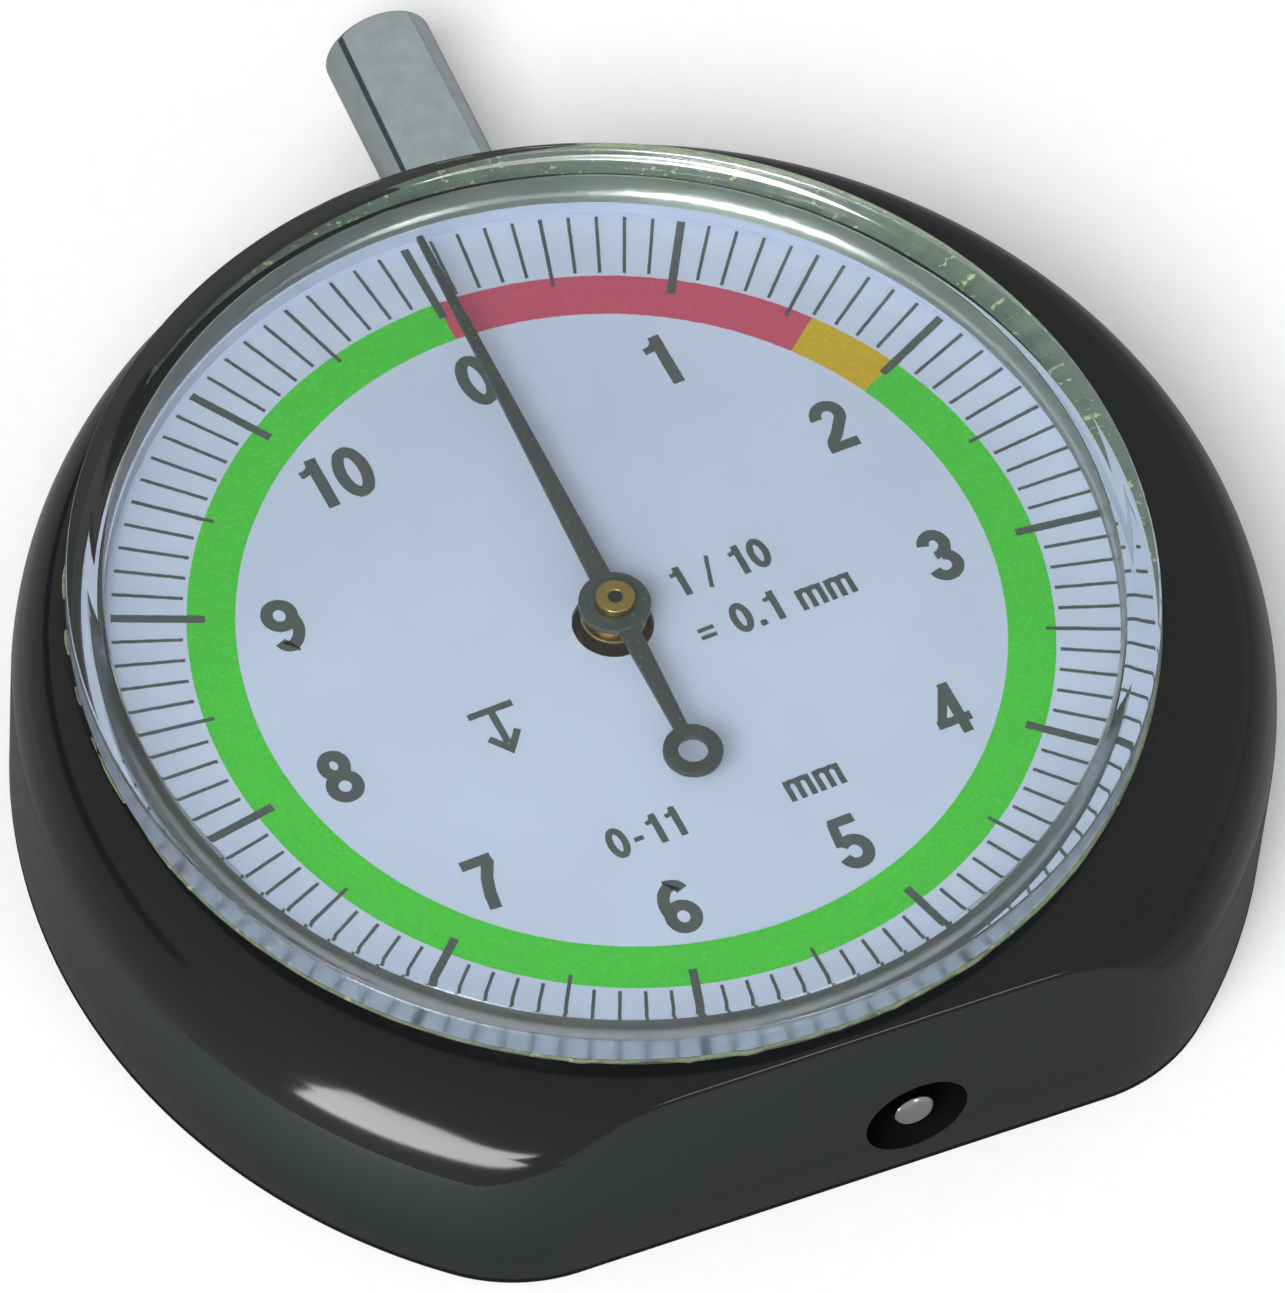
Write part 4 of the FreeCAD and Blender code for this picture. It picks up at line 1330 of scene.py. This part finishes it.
@dataclass
class Hand:
    """The pointer with its hub, arm and tail ring, and the brass under it."""

    set_angle: float = math.radians(1.2)
    length: float = 23.6 * MM
    hub_radius: float = 1.75 * MM
    root_width: float = 1.1 * MM
    tip_width: float = 0.34 * MM
    tail_width: float = 0.62 * MM
    tail_y: float = -9.2 * MM
    ring_outer: float = 1.45 * MM
    ring_inner: float = 0.72 * MM
    boss_radius: float = 0.95 * MM
    centre_radius: float = 0.36 * MM
    lift: float = 0.02 * MM
    flange: float = 1.3 * MM
    neck: float = 0.78 * MM
    bush_bore: float = 0.54 * MM
    bush_outer: float = 1.4 * MM

    def build(self) -> None:
        """Build the hand, its brass collet, and the bush below."""
        low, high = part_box("pointer")
        self.low, self.high = low.z, high.z
        hand = self.hand()
        hand.transform(Matrix.Rotation(self.set_angle, 4, "Z"))
        piece("pointer_hand", hand, [HAND_PAINT], "pointer_shaft", ("pointer",), 30)
        brass = [worked(Metal.BRASS)]
        piece("pointer_boss", self.boss(), brass, "pointer_shaft", ("pointer_collet",), 30)
        piece("arbor_bush", self.bush(), brass, "case", ("pointer_bush",), 30)
        dress("pointer_arbor", worked(Metal.DARK_STEEL))

    def hand(self) -> Mesh:
        """Make the hand of its arm, hub, tail and ring.

        Returns:
            The hand, pointing along the dial's +Y.
        """
        root, tip, tail = self.root_width / 2, self.tip_width / 2, self.tail_width / 2
        arm = self.strip(((-root, 0), (root, 0), (tip, self.length), (-tip, self.length)), 0.0)
        back = self.strip(((root, 0), (-root, 0), (-tail, self.tail_y), (tail, self.tail_y)), 0.0)
        hub = self.washer(self.hub_radius, self.boss_radius, 0.0, self.lift)
        ring = self.washer(self.ring_outer, self.ring_inner, self.tail_y, self.lift)
        return merged([self.without(back, self.tail_end()), arm, hub, ring])

    def strip(self, outline: Iterable[Point], lift: float) -> Mesh:
        """Raise a flat outline to the hand's thickness and round its edges.

        Args:
            outline: The outline's points.
            lift: How much thicker than the hand it is.

        Returns:
            The strip.
        """
        bm = bmesh.new()
        face = bm.faces.new([bm.verts.new((x, y, self.low)) for x, y in outline])
        done = bmesh.ops.extrude_face_region(bm, geom=[face])["geom"]
        raised = [item for item in done if isinstance(item, bmesh.types.BMVert)]
        bmesh.ops.translate(bm, vec=(0, 0, self.high - self.low + lift), verts=raised)
        bmesh.ops.recalc_face_normals(bm, faces=bm.faces[:])
        soften(bm, 0.03 * MM, 40, 2)
        return bm

    def washer(self, outer: float, inner: float, y: float, lift: float) -> Mesh:
        """Turn a flat ring of the hand.

        Args:
            outer: Its outer radius.
            inner: Its inner radius.
            y: Its place along the hand.
            lift: How much it stands over both faces.

        Returns:
            The ring.
        """
        bottom, top = self.low - lift, self.high + lift
        profile = ((inner, bottom), (outer, bottom), (outer, top), (inner, top))
        bm = turned(profile, Axis.UPRIGHT, Vector((0, y, 0)), SMALL)
        soften(bm, 0.05 * MM, 40, 3)
        return bm

    def tail_end(self) -> float:
        """Give where the tail strip stops, inside the ring's metal."""
        return self.tail_y + (self.ring_outer + self.ring_inner) / 2

    def without(self, bm: Mesh, stop: float) -> Mesh:
        """Cut a strip off beyond a place along the hand.

        Args:
            bm: The strip.
            stop: The place along the hand.

        Returns:
            The shorter strip.
        """
        geom = bm.verts[:] + bm.edges[:] + bm.faces[:]
        cut = bmesh.ops.bisect_plane(bm, geom=geom, plane_co=(0, stop, 0), plane_no=(0, -1, 0),
                                     clear_outer=True)["geom_cut"]
        bmesh.ops.holes_fill(bm, edges=[item for item in cut if isinstance(item, bmesh.types.BMEdge)])
        bmesh.ops.recalc_face_normals(bm, faces=bm.faces[:])
        return bm

    def boss(self) -> Mesh:
        """Turn the collet: a flange under the hand and a boss above it.

        Returns:
            The collet.
        """
        low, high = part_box("pointer_collet")
        profile = (
            (self.centre_radius, low.z), (self.flange, low.z), (self.flange, low.z + 0.3 * MM),
            (self.neck, low.z + 0.45 * MM), (self.neck, self.low), (self.boss_radius, self.low),
            (self.boss_radius, high.z), (self.centre_radius, high.z),
        )
        bm = turned(profile, Axis.UPRIGHT, Vector((0, 0, 0)), SMALL)
        soften(bm, 0.06 * MM, 40, 3)
        return bm

    def bush(self) -> Mesh:
        """Turn the flared bush that stands up through the dial.

        Returns:
            The bush.
        """
        low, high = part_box("pointer_bush")
        bore, outer = self.bush_bore, self.bush_outer
        flare = (high.x - low.x) / 2
        profile = (
            (bore, low.z), (outer, low.z), (outer, high.z - 0.4 * MM), (flare, high.z - 0.2 * MM),
            (flare, high.z), (bore, high.z),
        )
        bm = turned(profile, Axis.UPRIGHT, Vector((0, 0, 0)), SMALL)
        soften(bm, 0.05 * MM, 30, 2)
        return bm


# ---- the plunger ----


@dataclass
class Plunger:
    """The push button, the measuring pin, and what slides with them."""

    chamfer: float = 0.35 * MM
    dome: float = 0.25 * MM
    socket: float = 1.5 * MM
    socket_depth: float = 6 * MM
    crown: float = 0.22 * MM
    wire: float = 0.3 * MM
    coils: int = 8
    coil_steps: int = 24
    travel: float = 10.95 * MM

    def build(self) -> None:
        """Build the button, the pin and the spring, and dress the rest."""
        chrome = [worked(Metal.CHROME)]
        piece("push_button", self.button(), chrome, "plunger", ("button",), 30)
        piece("pin", self.pin(), [worked(Metal.STEEL)], "plunger", ("measuring_pin",), 30)
        self.spring()
        dress("plunger_rod", worked(Metal.STEEL))
        for node in ("rack", "spring_collar"):
            dress(node, worked(Metal.BRASS))
        for node in ("rack_screws", "collar_pin", "guide_pin"):
            dress(node, worked(Metal.STEEL))
        dress("upper_bush", worked(Metal.DARK_STEEL))
        dress("lower_bush", worked(Metal.DARK_STEEL))

    def axis_point(self, node: str) -> tuple[Vector, float, float, float]:
        """Read a turned node of the plunger.

        Args:
            node: The node's name.

        Returns:
            A point on its axis, its radius, and its low and high end.
        """
        low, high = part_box(node)
        return Vector(((low.x + high.x) / 2, 0, (low.z + high.z) / 2)), (high.z - low.z) / 2, low.y, high.y

    def button(self) -> Mesh:
        """Turn the button with its eased rim and slightly crowned end.

        Returns:
            The button.
        """
        centre, radius, start, end = self.axis_point("button")
        socket = self.socket
        profile = [(socket, start), (radius, start), (radius, end - self.chamfer)]
        inner = radius - self.chamfer
        profile += [(inner, end - self.dome * 0.4), (inner * 0.6, end - self.dome * 0.12), (0, end)]
        profile += [(0, start + self.socket_depth), (socket, start + self.socket_depth)]
        bm = turned(profile, Axis.PLUNGER, centre, 128)
        soften(bm, 0.12 * MM, 25, 3)
        return bm

    def pin(self) -> Mesh:
        """Turn the pin with its rounded end.

        Returns:
            The pin.
        """
        centre, radius, start, end = self.axis_point("measuring_pin")
        crown = self.crown
        profile = ((0, start), (radius - crown, start + 0.03 * MM), (radius, start + crown),
                   (radius, end), (0, end))
        bm = turned(profile, Axis.PLUNGER, centre, SMALL)
        soften(bm, 0.08 * MM, 20, 3)
        return bm

    def spring(self) -> None:
        """Wind the return spring; it rides on the case at one fixed length."""
        low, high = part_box("return_spring")
        wire, steps = self.wire, self.coil_steps
        middle = Vector(((low.x + high.x) / 2, 0, (low.z + high.z) / 2))
        radius = (high.x - low.x) / 2 - wire
        start, end = low.y + wire, high.y - wire
        curve = bpy.data.curves.new("spring_line", "CURVE")
        curve.dimensions = "3D"
        curve.bevel_depth = wire
        curve.bevel_resolution = 2
        curve.use_fill_caps = True
        line = curve.splines.new("POLY")
        line.points.add(self.coils * steps)
        for index, spot in enumerate(line.points):
            turn = FULL_TURN * index / steps
            along = start + (end - start) * index / (self.coils * steps)
            place = middle + Vector((radius * math.cos(turn), along, radius * math.sin(turn)))
            spot.co = (*place, 1)
        holder = bpy.data.objects.new("spring_line", curve)
        bpy.context.scene.collection.objects.link(holder)
        graph = bpy.context.evaluated_depsgraph_get()
        mesh = bpy.data.meshes.new_from_object(holder.evaluated_get(graph))
        bpy.data.objects.remove(holder)
        mesh.materials.clear()
        coil = piece_of_mesh("return_coil", mesh, [worked(Metal.SPRING)], "case",
                             ("return_spring",), 60)
        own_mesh(coil)


# ---- the movement ----


@dataclass
class Movement:
    """The plates, wheels and small parts under the dial."""

    finishes: dict = field(default_factory=lambda: {
        "movement_plate": Metal.PLATE_BRASS, "rear_bridge": Metal.PLATE_BRASS,
        "bridge_pillars": Metal.BRASS, "dial_feet": Metal.BRASS, "guide_rail": Metal.BRASS,
        "hairspring_stud": Metal.BRASS, "thrust_collar": Metal.BRASS, "pinion": Metal.BRASS,
        "takeup_wheel": Metal.BRASS, "hairspring_collet": Metal.BRASS,
        "rear_bearings": Metal.BRONZE, "hairspring": Metal.BRONZE,
        "movement_screws": Metal.STEEL, "bridge_screws": Metal.STEEL, "rail_screws": Metal.STEEL,
        "takeup_arbor": Metal.STEEL,
    })

    def build(self) -> None:
        """Dress every piece of the movement."""
        for node, metal in self.finishes.items():
            dress(node, worked(metal))


# ---- the studio ----


def facing(place: Vector, target: Vector, along: Vector) -> Matrix:
    """Give the move that puts a lamp or a card at a place, facing a target.

    Args:
        place: Where it stands.
        target: The point that its front looks at, down its own -Z.
        along: The way that its own X runs, as nearly as it can.

    Returns:
        The move.
    """
    back = (place - target).normalized()
    wide = (along - back * along.dot(back)).normalized()
    turn = Matrix((wide, back.cross(wide), back)).transposed()
    return Matrix.Translation(place) @ turn.to_4x4()


@dataclass
class Lamp:
    """A soft lamp: its place, its size, its power, and whether shiny pieces show it."""

    name: str
    place: Vector
    wide: float
    high: float
    watts: float
    mirrored: bool = True

    def build(self, target: Vector, along: Vector) -> None:
        """Hang the lamp and turn it to the target.

        Args:
            target: The point that it shines at.
            along: The way that its wide side runs.
        """
        light = bpy.data.lights.new(self.name, "AREA")
        light.shape = "RECTANGLE"
        light.size = self.wide
        light.size_y = self.high
        light.energy = self.watts
        hung = bpy.data.objects.new(self.name, light)
        hung.matrix_world = facing(self.place, target, along)
        hung.visible_camera = False
        hung.visible_glossy = self.mirrored
        bpy.context.scene.collection.objects.link(hung)


@dataclass
class Studio:
    """The pale floor, the soft lamps and the camera."""

    azimuth: float = math.radians(-27.12)
    elevation: float = math.radians(55.05)
    roll: float = math.radians(5.27)
    distance: float = 575 * MM
    lens: float = 334.12
    sensor: float = 36
    target: Vector = field(default_factory=lambda: Vector((1.0, -1.37, 10.5)) * MM)
    card_place: Vector = field(default_factory=lambda: Vector((-0.13, 0.13, 0.01)))
    card_target: Vector = field(default_factory=lambda: Vector((0.005, 0.04, 0.01)))
    card_size: tuple[float, float] = (0.3, 0.044)
    floor_half: float = 1.5
    glow: float = 0.12
    sky_strength: float = 0.4

    def build(self) -> None:
        """Set up the floor, the lamps, the sky and the camera."""
        self.floor()
        self.sky()
        self.camera()
        level = Vector((1, 0, 0))
        key = Lamp("key_lamp", Vector((-0.5, -0.5, 0.75)), wide=0.5, high=0.5, watts=9.0, mirrored=False)
        key.build(self.target, level)
        front = Lamp("front_lamp", Vector((0.26, -0.82, 0.51)), wide=0.2, high=0.2, watts=0.7)
        front.build(self.target, level)
        low = Lamp("low_lamp", Vector((-0.066, -0.053, 0.002)), wide=0.084, high=0.025, watts=0.068)
        low.build(low.place + Vector((0, 0, 1)), Vector((-0.87, -0.49, 0)))
        self.flag()

    def flag(self) -> None:
        """Stand a low black card on the left, which shiny round pieces show as a dark streak."""
        bm = bmesh.new()
        bmesh.ops.create_grid(bm, x_segments=1, y_segments=1, size=0.5)
        bmesh.ops.scale(bm, vec=(*self.card_size, 1), verts=bm.verts[:])
        bm.transform(facing(self.card_place, self.card_target, Vector((0.55, 0.83, 0))))
        mesh = bpy.data.meshes.new("black_card")
        bm.to_mesh(mesh)
        bm.free()
        mesh.materials.append(CARD_GREY.material())
        card = bpy.data.objects.new("black_card", mesh)
        bpy.context.scene.collection.objects.link(card)
        card.visible_camera = False
        card.visible_shadow = False
        card.visible_diffuse = False

    def floor(self) -> None:
        """Lay the pale floor."""
        bm = bmesh.new()
        bmesh.ops.create_grid(bm, x_segments=1, y_segments=1, size=self.floor_half)
        mesh = bpy.data.meshes.new("floor")
        bm.to_mesh(mesh)
        bm.free()
        paper = bpy.data.materials.new("paper_white")
        paper.use_nodes = True
        tree = paper.node_tree
        shader = tree.nodes["Principled BSDF"]
        shader.inputs["Roughness"].default_value = 0.9
        seen = add(tree, "ShaderNodeLightPath", {}, {}).outputs["Is Camera Ray"]
        fibre = spread(tree, grain(tree, 0.8 * MM), 0.0, 1.0)
        lit = two_tone(tree, fibre, linear("#fdfdfd"), linear("#f9f9f9"))
        tree.links.new(two_tone(tree, seen, linear("#9a9a9a"), lit), shader.inputs["Base Color"])
        shader.inputs["Emission Color"].default_value = linear("#ffffff")
        tree.links.new(spread(tree, seen, 0.0, self.glow), shader.inputs["Emission Strength"])
        mesh.materials.append(paper)
        ground = bpy.data.objects.new("floor", mesh)
        bpy.context.scene.collection.objects.link(ground)

    def sky(self) -> None:
        """Light the room evenly."""
        world = bpy.data.worlds.new("room")
        world.use_nodes = True
        air = world.node_tree.nodes["Background"]
        air.inputs["Color"].default_value = linear("#ffffff")
        air.inputs["Strength"].default_value = self.sky_strength
        bpy.context.scene.world = world
        bpy.context.scene.view_settings.view_transform = "Standard"

    def camera(self) -> None:
        """Set the camera at its angle, turned a little about its own axis."""
        around, up_angle = self.azimuth, self.elevation
        back = Vector((math.sin(around) * math.cos(up_angle), -math.cos(around) * math.cos(up_angle),
                       math.sin(up_angle)))
        level = Vector((math.cos(around), math.sin(around), 0))
        upward = back.cross(level)
        right = level * math.cos(self.roll) + upward * math.sin(self.roll)
        top = upward * math.cos(self.roll) - level * math.sin(self.roll)
        view = bpy.data.cameras.new("camera")
        view.lens = self.lens
        view.sensor_width = self.sensor
        seen = bpy.data.objects.new("camera", view)
        turn = Matrix((right, top, back)).transposed()
        seen.matrix_world = Matrix.Translation(self.target + back * self.distance) @ turn.to_4x4()
        bpy.context.scene.collection.objects.link(seen)
        bpy.context.scene.camera = seen


def main() -> None:
    """Build the gauge piece by piece and report each one."""
    logging.basicConfig(level=logging.INFO, format="%(message)s")
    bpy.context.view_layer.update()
    for part in (Case(), Crystal(), Dial(), Hand(), Plunger(), Movement(), Studio()):
        LOG.info("== %s", type(part).__name__)
        part.build()


if __name__ == "__main__":
    main()
